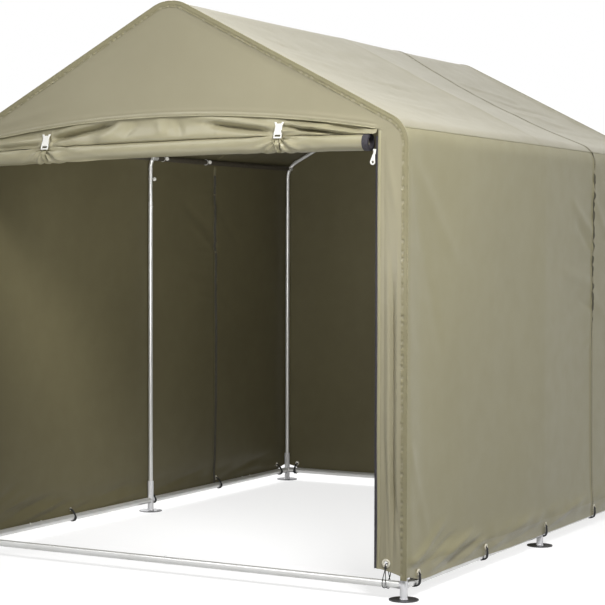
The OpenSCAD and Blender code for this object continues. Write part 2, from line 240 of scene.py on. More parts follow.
class Coat:
    """One material's or world's node tree."""

    def __init__(self, tree: bpy.types.NodeTree) -> None:
        """Empties the tree, to start afresh."""
        self.tree = tree
        tree.nodes.clear()

    @classmethod
    def of_material(cls, name: str) -> Tuple["Coat", bpy.types.Material]:
        """Makes a material and the coat that fills its tree.

        Args:
            name: The material's name.

        Returns:
            The coat and the material.
        """
        material = bpy.data.materials.new(name)
        material.use_nodes = True
        return cls(material.node_tree), material

    def node(
        self,
        kind: str,
        settings: Optional[dict] = None,
        sockets: Optional[dict] = None,
        out: Union[int, str] = 0,
    ) -> Wire:
        """Adds a node.

        Args:
            kind: The node's type.
            settings: The node's own settings, set first; "stops" fills a colour ramp.
            sockets: Values or wires for the inputs, by name or place.
            out: Which output to return.

        Returns:
            The chosen output.
        """
        made = self.tree.nodes.new(kind)
        for key, value in (settings or {}).items():
            if key == "stops":
                ramp = made.color_ramp
                while len(ramp.elements) < len(value):
                    ramp.elements.new(0.5)
                for element, (place, colour) in zip(ramp.elements, value):
                    element.position = place
                    element.color = colour
            else:
                setattr(made, key, value)
        for key, value in (sockets or {}).items():
            if isinstance(value, Wire):
                self.tree.links.new(value.socket, made.inputs[key])
            else:
                made.inputs[key].default_value = value
        return Wire(self, made.outputs[out])

    def place(self) -> Wire:
        """Object coordinates, in metres."""
        return self.node("ShaderNodeTexCoord", out="Object")

    def cut(self) -> Wire:
        """The cloth's own UV map, in metres."""
        return self.node("ShaderNodeTexCoord", out="UV")

    def split(self, vector: Wire) -> Tuple[Wire, Wire, Wire]:
        """The three parts of a vector.

        Args:
            vector: The vector.

        Returns:
            Its X, Y and Z.
        """
        first = self.node("ShaderNodeSeparateXYZ", None, {0: vector})
        outputs = first.socket.node.outputs
        return first, Wire(self, outputs[1]), Wire(self, outputs[2])

    def cloud(self, vector: Wire, scale: float, detail: float = 3.0, warp: float = 0.0) -> Wire:
        """Noise from 0 to 1."""
        sockets = {"Vector": vector, "Scale": scale, "Detail": detail, "Distortion": warp}
        return self.node("ShaderNodeTexNoise", None, sockets)

    def mix(self, share: Value, first: Union[Colour, Wire], second: Union[Colour, Wire]) -> Wire:
        """Blends two colours."""
        sockets = {0: share, 6: first, 7: second}
        return self.node("ShaderNodeMix", {"data_type": "RGBA"}, sockets, out=2)

    def relief(self, height: Wire) -> Wire:
        """A normal from a height in metres."""
        return self.node("ShaderNodeBump", None, {"Height": height, "Distance": 1.0})

    def surface(self, **sockets: Union[Value, Colour]) -> None:
        """Finishes a material with one Principled shader; spaces in names are underscores.

        Args:
            **sockets: The shader's inputs, by name.
        """
        named = {key.replace("_", " "): value for key, value in sockets.items()}
        shader = self.node("ShaderNodeBsdfPrincipled", None, named, out="BSDF")
        self.node_end(shader)

    def node_end(self, shader: Wire, kind: str = "ShaderNodeOutputMaterial") -> None:
        """Joins a shader to the tree's output."""
        end = self.tree.nodes.new(kind)
        self.tree.links.new(shader.socket, end.inputs["Surface"])


@dataclass(frozen=True)
class CoatedCloth:
    """Woven plastic cloth with a thin matt coating."""

    name: str
    light: Colour
    dark: Colour
    gloss: float = 0.42
    sheen: float = 0.08
    roughness: float = 0.36
    crinkle: float = 0.0003
    thread: float = 0.0022

    def make(self) -> bpy.types.Material:
        """Builds the cloth: soft clouding, fine crinkles and the weave of the tapes.

        Returns:
            The material.
        """
        coat, material = Coat.of_material(self.name)
        place = coat.place()
        cloud = coat.cloud(place, 1.6, 2.0)
        mottle = coat.cloud(place, 14.0, 4.0)
        across, along, _ = coat.split(coat.cut())
        turn = 2 * math.pi / self.thread
        weave = (across * turn).sine() * (along * turn).sine()
        crease = coat.cloud(place, 24.0, 5.0, 0.8)
        share = (cloud * 0.75 + mottle * 0.25).between(0.36, 0.64)
        coat.surface(
            Base_Color=coat.mix(share, self.light, self.dark),
            Roughness=(mottle * 0.14 + (self.roughness - 0.07)),
            Specular_IOR_Level=self.gloss,
            Sheen_Weight=self.sheen,
            Sheen_Roughness=0.4,
            Normal=coat.relief(crease * self.crinkle + weave * 0.00004),
        )
        return material


@dataclass(frozen=True)
class PaintedSteel:
    """Tube with a white powder coat."""

    name: str
    paint: Colour
    worn: Colour

    def make(self) -> bpy.types.Material:
        """Builds the paint: a faint orange peel and a little dust.

        Returns:
            The material.
        """
        coat, material = Coat.of_material(self.name)
        place = coat.place()
        dust = coat.cloud(place, 7.0, 5.0).between(0.5, 0.78)
        peel = coat.cloud(place, 420.0, 2.0)
        coat.surface(
            Base_Color=coat.mix(dust * 0.5, self.paint, self.worn),
            Roughness=dust * 0.15 + 0.3,
            Metallic=0.45,
            Coat_Weight=0.25,
            Normal=coat.relief(peel * 0.00004),
        )
        return material


@dataclass(frozen=True)
class FootSteel:
    """A foot: a white sleeve on a dark zinc-plated plate."""

    name: str
    paint: Colour
    zinc: Colour
    bright: Colour
    plate_top: float = 0.0034

    def make(self) -> bpy.types.Material:
        """Builds both finishes, parted at the top of the plate.

        Returns:
            The material.
        """
        coat, material = Coat.of_material(self.name)
        place = coat.place()
        _, _, height = coat.split(place)
        sleeve = height.above(self.plate_top)
        spangle = coat.node(
            "ShaderNodeTexVoronoi", None, {"Vector": place, "Scale": 210.0}, out="Distance"
        )
        scuff = coat.cloud(place, 60.0, 6.0)
        plate = coat.mix((spangle * 0.6 + scuff * 0.5).between(0.25, 0.8), self.zinc, self.bright)
        coat.surface(
            Base_Color=coat.mix(sleeve, plate, self.paint),
            Metallic=(1 - sleeve) * 0.75,
            Roughness=scuff * 0.25 + 0.28,
            Normal=coat.relief(scuff * 0.00008),
        )
        return material


@dataclass(frozen=True)
class MouldedPlastic:
    """Injection-moulded plastic."""

    name: str
    body: Colour
    shade: Colour
    roughness: float = 0.35

    def make(self) -> bpy.types.Material:
        """Builds the plastic: a fine grain and a slight clouding.

        Returns:
            The material.
        """
        coat, material = Coat.of_material(self.name)
        place = coat.place()
        flow = coat.cloud(place, 90.0, 3.0)
        grain = coat.cloud(place, 1600.0, 2.0)
        coat.surface(
            Base_Color=coat.mix(flow.between(0.35, 0.75), self.body, self.shade),
            Roughness=flow * 0.1 + (self.roughness - 0.05),
            Normal=coat.relief(grain * 0.00002),
        )
        return material


@dataclass(frozen=True)
class Webbing:
    """Woven tape or thread with visible ribs."""

    name: str
    light: Colour
    dark: Colour
    rib: float
    depth: float = 0.0001

    def make(self) -> bpy.types.Material:
        """Builds the ribs over a faint mottle.

        Returns:
            The material.
        """
        coat, material = Coat.of_material(self.name)
        place = coat.place()
        turn = 2 * math.pi / self.rib
        first, second, third = coat.split(place)
        ribs = ((first + third) * turn).sine() * ((second + third) * turn).sine()
        mottle = coat.cloud(place, 130.0, 4.0)
        coat.surface(
            Base_Color=coat.mix(mottle.between(0.3, 0.7), self.light, self.dark),
            Roughness=mottle * 0.2 + 0.55,
            Normal=coat.relief(ribs * self.depth + mottle * 0.0001),
        )
        return material


Finish = Union[CoatedCloth, PaintedSteel, FootSteel, MouldedPlastic, Webbing]

OUTER_CLOTH = CoatedCloth("olive_cloth_outside", tint(154, 148, 123), tint(149, 143, 118))
# The same cloth as outside with less gloss, painted a touch darker and warmer as painted shade on
# the walls.
SHADED_WALL_CLOTH = CoatedCloth(
    "olive_cloth_walls_shaded", tint(152, 146, 114), tint(147, 141, 109), gloss=0.24, sheen=0.03
)
DOOR_CLOTH = CoatedCloth(
    "olive_cloth_door", tint(158, 152, 124), tint(152, 146, 118), gloss=0.48, roughness=0.36
)
# Darker than the cover cloth: painted shade of the band's puckers.
SHADED_BAND_CLOTH = CoatedCloth(
    "olive_edge_band", tint(147, 141, 111), tint(137, 131, 102), gloss=0.3, crinkle=0.0006
)
# Inner face: a darker coating, painted darker still as painted shade of the dim interior.
INNER_SHADED_CLOTH = CoatedCloth(
    "olive_cloth_inside_shaded", tint(103, 97, 70), tint(96, 90, 64), sheen=0.05, roughness=0.6
)
TRIM_CLOTH = CoatedCloth(
    "olive_binding", tint(158, 152, 122), tint(152, 146, 116), crinkle=0.0004
)
# Pale: painted highlight along the gable hem's lower edge.
HIGHLIGHT_WELT_CLOTH = CoatedCloth("olive_welt_highlight", tint(186, 180, 150), tint(174, 168, 138))
# A little darker than the walls: painted shade of the hem's inturned band.
SHADED_HEM_CLOTH = CoatedCloth("olive_cloth_hem_shaded", tint(150, 144, 114), tint(144, 138, 108))
THREAD = Webbing("olive_thread", tint(150, 145, 116), tint(126, 121, 95), 0.0012)
# Darker thread for the band's inner stitches: painted shade along the stitch line.
SHADE_STITCH_THREAD = Webbing("shade_stitch_thread", tint(118, 113, 88), tint(98, 93, 70), 0.0012)
# Near-black thread: painted shade in the seam's groove.
SEAM_SHADE_THREAD = Webbing("seam_shade_thread", tint(84, 79, 58), tint(62, 58, 42), 0.0012)
# Near black: a real seam tape, painted dark as the seam's shadow line inside.
SEAM_SHADE_TAPE = Webbing("seam_tape", tint(52, 48, 34), tint(42, 39, 28), 0.002)
SLEEVE_CLOTH = Webbing("brown_sleeve_cloth", tint(78, 72, 60), tint(60, 55, 45), 0.002)
ZIP_TAPE = Webbing("charcoal_zip_tape", tint(58, 54, 60), tint(40, 37, 42), 0.0016)
BLACK_CORD = Webbing("black_elastic_cord", tint(34, 33, 34), tint(20, 20, 21), 0.0014)
WHITE_STEEL = PaintedSteel("white_powder_coat", tint(228, 228, 226), tint(204, 203, 198))
FOOT_STEEL = FootSteel(
    "foot_finish", tint(240, 240, 242), tint(58, 58, 60), tint(104, 104, 106)
)
WHITE_PLASTIC = MouldedPlastic("white_nylon", tint(240, 239, 234), tint(228, 226, 218))
CREAM_PLASTIC = MouldedPlastic("cream_eyelet_plastic", tint(228, 222, 204), tint(212, 205, 186))
DARK_ZIP = MouldedPlastic("zip_teeth_plastic", tint(50, 47, 52), tint(36, 34, 38), 0.4)


class Finishes:
    """Makes each finish once and hands it out again."""

    def __init__(self) -> None:
        """Starts with no materials."""
        self._made: Dict[str, bpy.types.Material] = {}

    def of(self, finish: Finish) -> bpy.types.Material:
        """The material of a finish.

        Args:
            finish: The finish.

        Returns:
            Its material, made at the first call.
        """
        if finish.name not in self._made:
            self._made[finish.name] = finish.make()
        return self._made[finish.name]


# ---- The bench ----


class Bench:
    """Modelling steps that every sub-assembly shares."""

    def __init__(self, finishes: Finishes) -> None:
        """Keeps the finishes."""
        self.finishes = finishes

    @staticmethod
    def clear() -> None:
        """Leaves edit mode and deselects everything."""
        if bpy.context.object and bpy.context.object.mode != "OBJECT":
            bpy.ops.object.mode_set(mode="OBJECT")
        bpy.ops.object.select_all(action="DESELECT")

    @classmethod
    def hold(cls, piece: Piece) -> None:
        """Selects one piece alone and makes it the active one.

        Args:
            piece: The piece.
        """
        cls.clear()
        piece.select_set(True)
        bpy.context.view_layer.objects.active = piece

    @classmethod
    def pick(cls, piece: Piece, kind: str, test: Callable[[Vector], bool]) -> None:
        """Enters edit mode with the parts selected whose place passes a test.

        Args:
            piece: The mesh to edit.
            kind: VERT or FACE.
            test: Says of a vertex's place, or a face's middle, whether it is taken.
        """
        cls.hold(piece)
        bpy.ops.object.mode_set(mode="EDIT")
        bpy.ops.mesh.select_mode(type=kind)
        bpy.ops.mesh.select_all(action="DESELECT")
        bpy.ops.object.mode_set(mode="OBJECT")
        if kind == "VERT":
            for vertex in piece.data.vertices:
                vertex.select = test(vertex.co)
        else:
            for face in piece.data.polygons:
                face.select = test(face.center)
        bpy.ops.object.mode_set(mode="EDIT")

    @classmethod
    def modify(cls, piece: Piece, kind: str, **settings: object) -> None:
        """Adds a modifier with its settings and applies it.

        Args:
            piece: The piece to change.
            kind: The modifier's type.
            **settings: The modifier's settings.
        """
        cls.hold(piece)
        modifier = piece.modifiers.new(kind.lower(), kind)
        for key, value in settings.items():
            setattr(modifier, key, value)
        bpy.ops.object.modifier_apply(modifier=modifier.name)

    @classmethod
    def smooth(cls, piece: Piece, degrees: float = 40.0) -> None:
        """Shades smooth, with sharp edges kept over an angle."""
        cls.hold(piece)
        bpy.ops.object.shade_smooth_by_angle(angle=math.radians(degrees))

    @classmethod
    def fix(cls, piece: Piece) -> None:
        """Puts a piece's place, turn and size into its mesh."""
        cls.hold(piece)
        bpy.ops.object.transform_apply(location=True, rotation=True, scale=True)

    def coat(self, piece: Piece, finish: Finish) -> None:
        """Gives a piece one more finish."""
        piece.data.materials.append(self.finishes.of(finish))

    @classmethod
    def join(cls, pieces: Sequence[Piece]) -> Piece:
        """Joins pieces into the first of them.

        Args:
            pieces: The pieces.

        Returns:
            The first of them, with all the others in it.
        """
        cls.clear()
        for piece in pieces:
            piece.select_set(True)
        bpy.context.view_layer.objects.active = pieces[0]
        bpy.ops.object.join()
        return pieces[0]

    @classmethod
    def carve(cls, piece: Piece, cutter: Piece) -> None:
        """Cuts a cutter's shape out of a piece, and throws the cutter away."""
        cls.modify(piece, "BOOLEAN", operation="DIFFERENCE", solver="EXACT", object=cutter)
        bpy.data.objects.remove(cutter)

    def rod(
        self, radius: float, length: float, place: Vector, axis: Vector, sides: int = 24
    ) -> Piece:
        """A solid round bar about its middle, along an axis.

        Args:
            radius: The bar's radius.
            length: Its length.
            place: Its middle.
            axis: Which way it points.
            sides: How many sides it has.

        Returns:
            The bar.
        """
        self.clear()
        turn = axis.to_track_quat("Z", "Y").to_euler()
        bpy.ops.mesh.primitive_cylinder_add(
            vertices=sides, radius=radius, depth=length, location=place, rotation=turn
        )
        return bpy.context.object

    def weave(
        self,
        name: str,
        columns: Sequence[float],
        rows: Sequence[float],
        surface: Surface,
        wall: float,
        away_from: Vector,
        coats: Sequence[Finish],
        cut: Optional[Callable[[float, float], Tuple[float, float]]] = None,
        angle: float = 50.0,
    ) -> Piece:
        """Makes a sheet of cloth from a grid, laid on a surface and given its thickness.

        Args:
            name: The piece's name.
            columns: The surface's first values, one for each grid line.
            rows: The surface's second values, one for each grid line.
            surface: Gives the place of a pair of values on the cloth's outer face.
            wall: The cloth's thickness, inwards from that face.
            away_from: A point that the outer face looks away from.
            coats: The finishes of the outer and the inner face.
            cut: Gives a pair's place on the flat cloth, where it isn't the pair itself.
            angle: Edges sharper than this many degrees stay sharp.

        Returns:
            The sheet.
        """
        self.clear()
        bpy.ops.mesh.primitive_grid_add(
            x_subdivisions=len(columns) - 1, y_subdivisions=len(rows) - 1, size=2.0
        )
        piece = bpy.context.object
        piece.name = name
        mesh = piece.data
        pairs = []
        for vertex in mesh.vertices:
            column = columns[round((vertex.co.x + 1) / 2 * (len(columns) - 1))]
            row = rows[round((vertex.co.y + 1) / 2 * (len(rows) - 1))]
            pairs.append((column, row))
            vertex.co = surface(column, row)
        flat = mesh.uv_layers[0].data
        for loop in mesh.loops:
            pair = pairs[loop.vertex_index]
            flat[loop.index].uv = cut(*pair) if cut else pair
        mesh.update()
        facing = sum(
            (face.center - away_from).dot(face.normal) * face.area for face in mesh.polygons
        )
        if facing < 0:
            mesh.flip_normals()
        for coat in coats:
            self.coat(piece, coat)
        self.modify(
            piece, "SOLIDIFY", thickness=wall, offset=-1.0, use_rim=True,
            material_offset=len(coats) - 1, material_offset_rim=0,
        )
        self.smooth(piece, angle)
        return piece

    def tube(
        self,
        name: str,
        points: Sequence[Vector],
        radius: float,
        coat: Finish,
        closed: bool = False,
        roundness: int = 3,
    ) -> Piece:
        """A round cord or welt along a path, as a mesh with closed ends.

        Args:
            name: The piece's name.
            points: The path.
            radius: The cord's radius.
            coat: Its finish.
            closed: Whether the path runs back to its start.
            roundness: How finely the cord is rounded.

        Returns:
            The cord.
        """
        self.clear()
        curve = bpy.data.curves.new(name, "CURVE")
        curve.dimensions = "3D"
        curve.bevel_depth = radius
        curve.bevel_resolution = roundness
        curve.use_fill_caps = True
        spline = curve.splines.new("POLY")
        spline.points.add(len(points) - 1)
        for point, place in zip(spline.points, points):
            point.co = (*place, 1.0)
        spline.use_cyclic_u = closed
        piece = bpy.data.objects.new(name, curve)
        bpy.context.scene.collection.objects.link(piece)
        self.hold(piece)
        bpy.ops.object.convert(target="MESH")
        piece = bpy.context.object
        self.coat(piece, coat)
        self.smooth(piece, 60)
        return piece

    @staticmethod
    def twin(pattern: Piece, place: Matrix) -> Piece:
        """Copies a piece, with its own mesh, to a place.

        Args:
            pattern: The piece to copy.
            place: Where its origin goes, and how it is turned and sized.

        Returns:
            The copy.
        """
        copy = pattern.copy()
        copy.data = pattern.data.copy()
        copy.matrix_world = place
        bpy.context.scene.collection.objects.link(copy)
        return copy

    def repeat(self, name: str, pattern: Piece, places: Sequence[Matrix]) -> Piece:
        """Sets copies of a small pattern at many places, as one mesh.

        Args:
            name: The piece's name.
            pattern: The shape to copy; it is thrown away.
            places: Where each copy goes.

        Returns:
            One piece with all the copies.
        """
        copies = [self.twin(pattern, place) for place in places]
        bpy.data.objects.remove(pattern)
        spare = [copy.data for copy in copies[1:]]
        whole = self.join(copies)
        whole.name = name
        bpy.data.batch_remove(spare)
        return whole

    def settle(
        self, piece: Piece, name: str, slot: Slot, stands_for: Sequence[str] = ()
    ) -> None:
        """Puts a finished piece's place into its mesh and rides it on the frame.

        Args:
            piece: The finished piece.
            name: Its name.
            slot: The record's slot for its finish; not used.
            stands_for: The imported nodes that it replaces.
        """
        self.fix(piece)
        piece.name = name
        piece.data.name = name
        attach(piece, "root")
        if stands_for:
            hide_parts(*stands_for)
        LOG.info("%s: %d faces", name, len(piece.data.polygons))


# ---- The studio ----


@dataclass(frozen=True)
class Lamp:
    """A soft lamp: its place, what it looks at, its width and its power in watts."""

    name: str
    place: Spot
    target: Spot
    width: float
    power: float
    height: float = 0.0

    def hang(self) -> None:
        """Hangs the lamp: a square one, or an oblong one if it has a height of its own."""
        data = bpy.data.lights.new(self.name, "AREA")
        data.size = self.width
        data.energy = self.power
        if self.height:
            data.shape = "RECTANGLE"
            data.size_y = self.height
        holder = bpy.data.objects.new(self.name, data)
        bpy.context.scene.collection.objects.link(holder)
        look = (Vector(self.target) - Vector(self.place)).to_track_quat("-Z", "Y")
        holder.matrix_world = Matrix.Translation(self.place) @ look.to_matrix().to_4x4()
        holder.visible_camera = False


@dataclass
class Studio:
    """Camera, lamps, floor and the white surroundings."""

    lens: float = 105.5
    sensor: float = 36.0
    stand: Spot = (3.388, -6.384, 1.154)
    turn: float = 28.98
    dip: float = 1.854
    tilt: float = 0.147
    surround: float = 0.20
    floor_size: float = 60.0
    floor_glow: float = 0.74
    floor_near: float = 2.4
    floor_far: float = 6.0
    lamps: Tuple[Lamp, ...] = (
        Lamp("key_lamp", (2.3, -2.8, 3.0), (0.5, -1.1, 1.3), 0.9, 113.0),
        Lamp("front_lamp", (0.2, -9.0, 3.0), (0.0, -0.5, 1.0), 2.5, 10.0),
        Lamp("side_lamp", (5.5, -0.2, 4.4), (0.9, 0.0, 1.2), 2.5, 40.0),
        Lamp("top_lamp", (0.6, 1.9, 6.0), (0.5, 0.8, 1.8), 3.0, 73.0),
        Lamp("sky_lamp", (-2.2, -2.9, 5.0), (0.0, -1.1, 1.5), 2.0, 56.0),
        Lamp("back_lamp", (-5.2, 4.2, 4.5), (0.0, 0.0, 0.9), 3.5, 430.0),
        Lamp("door_lamp", (0.0, -1.10, 1.02), (-0.1, 0.0, 1.30), 0.80, 9.3),
        Lamp("deep_lamp", (0.25, -0.45, 1.50), (-0.2, 1.1, 0.7), 0.4, 5.2),
        Lamp("roll_lamp", (0.0, -1.78, 1.06), (0.0, -1.27, 1.46), 1.5, 2.7, 0.15),
    )

    def build(self) -> None:
        """Sets up everything that isn't part of the shelter."""
        self.camera()
        self.surroundings()
        self.floor()
        for lamp in self.lamps:
            lamp.hang()

    def camera(self) -> None:
        """Sets the camera at its stand."""
        data = bpy.data.cameras.new("camera")
        data.lens = self.lens
        data.sensor_width = self.sensor
        data.clip_end = 200.0
        holder = bpy.data.objects.new("camera", data)
        bpy.context.scene.collection.objects.link(holder)
        aim = (
            Matrix.Rotation(math.radians(self.turn), 4, "Z")
            @ Matrix.Rotation(math.radians(90 - self.dip), 4, "X")
            @ Matrix.Rotation(math.radians(self.tilt), 4, "Z")
        )
        holder.matrix_world = Matrix.Translation(self.stand) @ aim
        bpy.context.scene.camera = holder

    def surroundings(self) -> None:
        """White to the eye and in reflections, and softer as light."""
        world = bpy.data.worlds.new("surroundings")
        world.use_nodes = True
        bpy.context.scene.world = world
        coat = Coat(world.node_tree)
        light = coat.node("ShaderNodeBackground", None, {"Color": WHITE, "Strength": self.surround})
        plain = coat.node("ShaderNodeBackground", None, {"Color": WHITE, "Strength": 1.0})
        both = coat.node("ShaderNodeMixShader", None, {0: self.shown(coat), 1: light, 2: plain})
        coat.node_end(both, "ShaderNodeOutputWorld")

    @staticmethod
    def shown(coat: Coat) -> Wire:
        """1 for what is seen straight, mirrored or through glass, and 0 for light.

        Args:
            coat: The tree to add the nodes to.

        Returns:
            The share, 0 or 1.
        """
        seen = coat.node("ShaderNodeLightPath", out="Is Camera Ray")
        rays = seen.socket.node.outputs
        total = seen + Wire(coat, rays["Is Glossy Ray"]) + Wire(coat, rays["Is Transmission Ray"])
        return total.between(0.0, 1.0)

    def floor(self) -> None:
        """A plain pale floor that keeps a soft shadow and fades into the white."""
        Bench.clear()
        bpy.ops.mesh.primitive_plane_add(size=self.floor_size, location=(0, 0, -0.0005))
        ground = bpy.context.object
        ground.name = "floor"
        coat, material = Coat.of_material("pale_floor")
        grain = coat.cloud(coat.place(), 3.0, 2.0)
        pale = coat.mix(grain, tint(166, 166, 166), tint(162, 162, 162))
        matt = coat.node("ShaderNodeBsdfDiffuse", None, {"Color": pale})
        glow = coat.node("ShaderNodeEmission", None, {"Color": WHITE, "Strength": self.floor_glow})
        near = coat.node("ShaderNodeAddShader", None, {0: matt, 1: glow})
        plain = coat.node("ShaderNodeEmission", None, {"Color": WHITE, "Strength": 1.0})
        length = {"operation": "LENGTH"}
        away = coat.node("ShaderNodeVectorMath", length, {0: coat.place()}, out="Value")
        fade = away.between(self.floor_near, self.floor_far)
        lit = coat.node("ShaderNodeMixShader", None, {0: fade, 1: near, 2: plain})
        coat.node_end(
            coat.node("ShaderNodeMixShader", None, {0: self.shown(coat), 1: matt, 2: lit})
        )
        ground.data.materials.append(material)


# ---- The cover ----


@dataclass(frozen=True)
class Crease:
    """A soft fold along a line on the cloth; a negative depth is a groove."""

    start: Tuple[float, float]
    end: Tuple[float, float]
    depth: float
    width: float

    def at(self, x: float, z: float) -> float:
        """How far the fold lifts the cloth at a place.

        Args:
            x: The place's first value.
            z: Its second value.

        Returns:
            The lift.
        """
        run = (self.end[0] - self.start[0], self.end[1] - self.start[1])
        length = math.hypot(*run)
        across = (x - self.start[0], z - self.start[1])
        along = (across[0] * run[0] + across[1] * run[1]) / length
        off = abs(across[0] * run[1] - across[1] * run[0]) / length
        share = along / length
        if share < -0.2 or share > 1.2 or off > 3 * self.width:
            return 0.0
        fade = swell((share + 0.2) / 0.4) * swell((1.2 - share) / 0.4)
        return self.depth * fade * mound(off, self.width)


def creases(*rows: Tuple[float, ...]) -> Tuple[Crease, ...]:
    """Creases from rows in millimetres: start, end, depth and width."""
    metres = [[value / 1000 for value in row] for row in rows]
    return tuple(Crease((a, b), (c, d), depth, width) for a, b, c, d, depth, width in metres)


@dataclass(frozen=True)
class CoverShape:
    """The cover's outline and how it sags between the frames."""

    half_w: float
    half_l: float
    hem: float
    eave_h: float = 1.545
    ridge_h: float = 2.015
    eave_r: float = 0.105
    apex_r: float = 0.150
    inset: float = 0.0165
    seam_turn: float = math.radians(31)
    seam_y: float = 0.545
    wall: float = 0.0012
    tube_gap: float = 0.0050
    roof_sag: float = 0.024
    wall_sag: float = 0.010
    eyelets: Tuple[float, ...] = (-1.126, -0.563, 0.017, 0.563, 1.126)
    rear_eyelets: Tuple[float, ...] = (-0.85, -0.85 / 3, 0.85 / 3, 0.85)
    eyelet_z: float = 0.080
    eyelet_hole: float = 0.0072
    jamb_eyelet_x: float = 0.842
    jamb_eyelet_z: float = 0.117
    jamb_hole: float = 0.0092
    puckers: Tuple[Crease, ...] = creases(
        (300, 1330, 535, 1200, 5, 22), (360, 1240, 535, 1130, -3.5, 16),
        (220, 1050, 535, 1000, 3, 20), (400, 930, 535, 900, -3, 10), (470, 745, 535, 765, 3, 6),
        (555, 1350, 750, 1160, 3, 20), (555, 950, 800, 800, 2.5, 24),
        (-1150, 1420, -800, 1100, 3, 30), (-1170, 1360, -950, 850, -2.5, 30),
        (-1170, 105, -920, 215, 8, 12.7), (-1120, 85, -840, 165, -7.2, 9.3),
        (-1020, 70, -700, 150, 8.7, 11.9), (-900, 62, -620, 120, -6.5, 8.5),
        (-740, 66, -580, 105, 6.5, 8.5), (-520, 70, -200, 125, 5.1, 11.9),
        (-400, 62, -50, 90, -4.3, 8.5), (50, 70, 420, 130, 5.1, 11.9),
        (620, 75, 1020, 140, 5.1, 11.9), (-1190, 500, -1050, 200, 3, 18),
    )
    roof_folds: Tuple[Crease, ...] = creases(
        (210, -1050, 300, -780, -5.8, 7), (480, -620, 560, -340, -5.8, 8),
        (340, -1120, 420, -700, 5.1, 16), (700, -1000, 780, -520, 4.6, 18),
        (800, -600, 860, -200, -4.3, 10), (120, -850, 140, -300, -4.3, 8),
        (300, 620, 440, 980, 6.5, 14), (460, 660, 620, 1060, -7.2, 12),
        (580, 620, 740, 1000, 6.5, 14), (760, 600, 860, 1100, -6.5, 12),
    )

    @property
    def slope(self) -> float:
        """The roof's slope."""
        return math.atan((self.ridge_h - self.eave_h) / self.half_w)

    @property
    def eave_cx(self) -> float:
        """The eave bend's middle, from the centre plane."""
        return self.half_w - self.eave_r

    @property
    def eave_cz(self) -> float:
        """Height of the eave bend's middle."""
        return self.eave_h + self.eave_r * math.tan(self.slope) - self.eave_r / math.cos(self.slope)

    @property
    def apex_cz(self) -> float:
        """Height of the ridge bend's middle."""
        return self.ridge_h - self.apex_r / math.cos(self.slope)

    @property
    def arc_apex(self) -> float:
        """Cloth from the ridge to the end of its bend."""
        return self.apex_r * self.slope

    @property
    def straight(self) -> float:
        """Cloth on the straight of the slope."""
        run = self.eave_cx + self.eave_r * math.sin(self.slope) - self.apex_r * math.sin(self.slope)
        return run / math.cos(self.slope)

    @property
    def to_pole(self) -> float:
        """Cloth from the ridge to the eave pole."""
        return self.arc_apex + self.straight + self.eave_r * (math.pi / 2 - self.slope) / 2

    @property
    def to_seam(self) -> float:
        """Cloth from the ridge to the roof's seam in the eave bend."""
        return self.arc_apex + self.straight + self.eave_r * self.seam_turn

    @property
    def to_wall(self) -> float:
        """Cloth from the ridge to the end of the eave bend."""
        return self.arc_apex + self.straight + self.eave_r * (math.pi / 2 - self.slope)

    @property
    def to_hem(self) -> float:
        """Cloth from the ridge to the hem."""
        return self.to_wall + self.eave_cz - self.hem

    def rib(self, run: float) -> Tuple[Vector, Vector]:
        """A place on the cover's outline.

        Args:
            run: Distance along the cloth from the ridge, negative on the left.

        Returns:
            The place and the outward direction, both with Y at 0.
        """
        side = -1.0 if run < 0 else 1.0
        far = abs(run)
        if far <= self.arc_apex:
            turn = far / self.apex_r
            x, z = self.apex_r * math.sin(turn), self.apex_cz + self.apex_r * math.cos(turn)
        elif far <= self.arc_apex + self.straight:
            turn = self.slope
            rest = far - self.arc_apex
            x = self.apex_r * math.sin(turn) + rest * math.cos(turn)
            z = self.apex_cz + self.apex_r * math.cos(turn) - rest * math.sin(turn)
        elif far <= self.to_wall:
            turn = self.slope + (far - self.arc_apex - self.straight) / self.eave_r
            x = self.eave_cx + self.eave_r * math.sin(turn)
            z = self.eave_cz + self.eave_r * math.cos(turn)
        else:
            turn = math.pi / 2
            x, z = self.half_w, self.eave_cz - (far - self.to_wall)
        return Vector((side * x, 0, z)), Vector((side * math.sin(turn), 0, math.cos(turn)))

    def roofline(self, x: float) -> float:
        """Height of the outline at a distance from the centre plane.

        Args:
            x: Distance from the centre plane.

        Returns:
            The height.
        """
        far = min(abs(x), self.half_w)
        if far <= self.apex_r * math.sin(self.slope):
            return self.apex_cz + math.sqrt(self.apex_r**2 - far**2)
        bend = self.eave_cx + self.eave_r * math.sin(self.slope)
        if far <= bend:
            return self.ridge_h - far * math.tan(self.slope)
        return self.eave_cz + math.sqrt(max(0.0, self.eave_r**2 - (far - self.eave_cx) ** 2))

    def breadth(self, z: float) -> float:
        """Half the cover's width at a height below the eave's bend top.

        Args:
            z: Height.

        Returns:
            Half the cover's width.
        """
        if z <= self.eave_cz:
            return self.half_w
        return self.eave_cx + math.sqrt(max(0.0, self.eave_r**2 - (z - self.eave_cz) ** 2))

    def bay(self, y: float) -> float:
        """0 on a frame, rising to 1 half-way between two frames.

        Args:
            y: Place along the shelter.

        Returns:
            The share.
        """
        frame_y = self.half_l - self.inset
        share = min(1.0, max(0.0, math.sqrt((y / frame_y) ** 2 + 0.0001) - 0.01))
        return 4 * share * (1 - share)

    def edge(self, y: float) -> float:
        """0 at the cover's two end edges, and 1 from 50 mm inside them."""
        return swell((self.half_l - abs(y)) / 0.05)

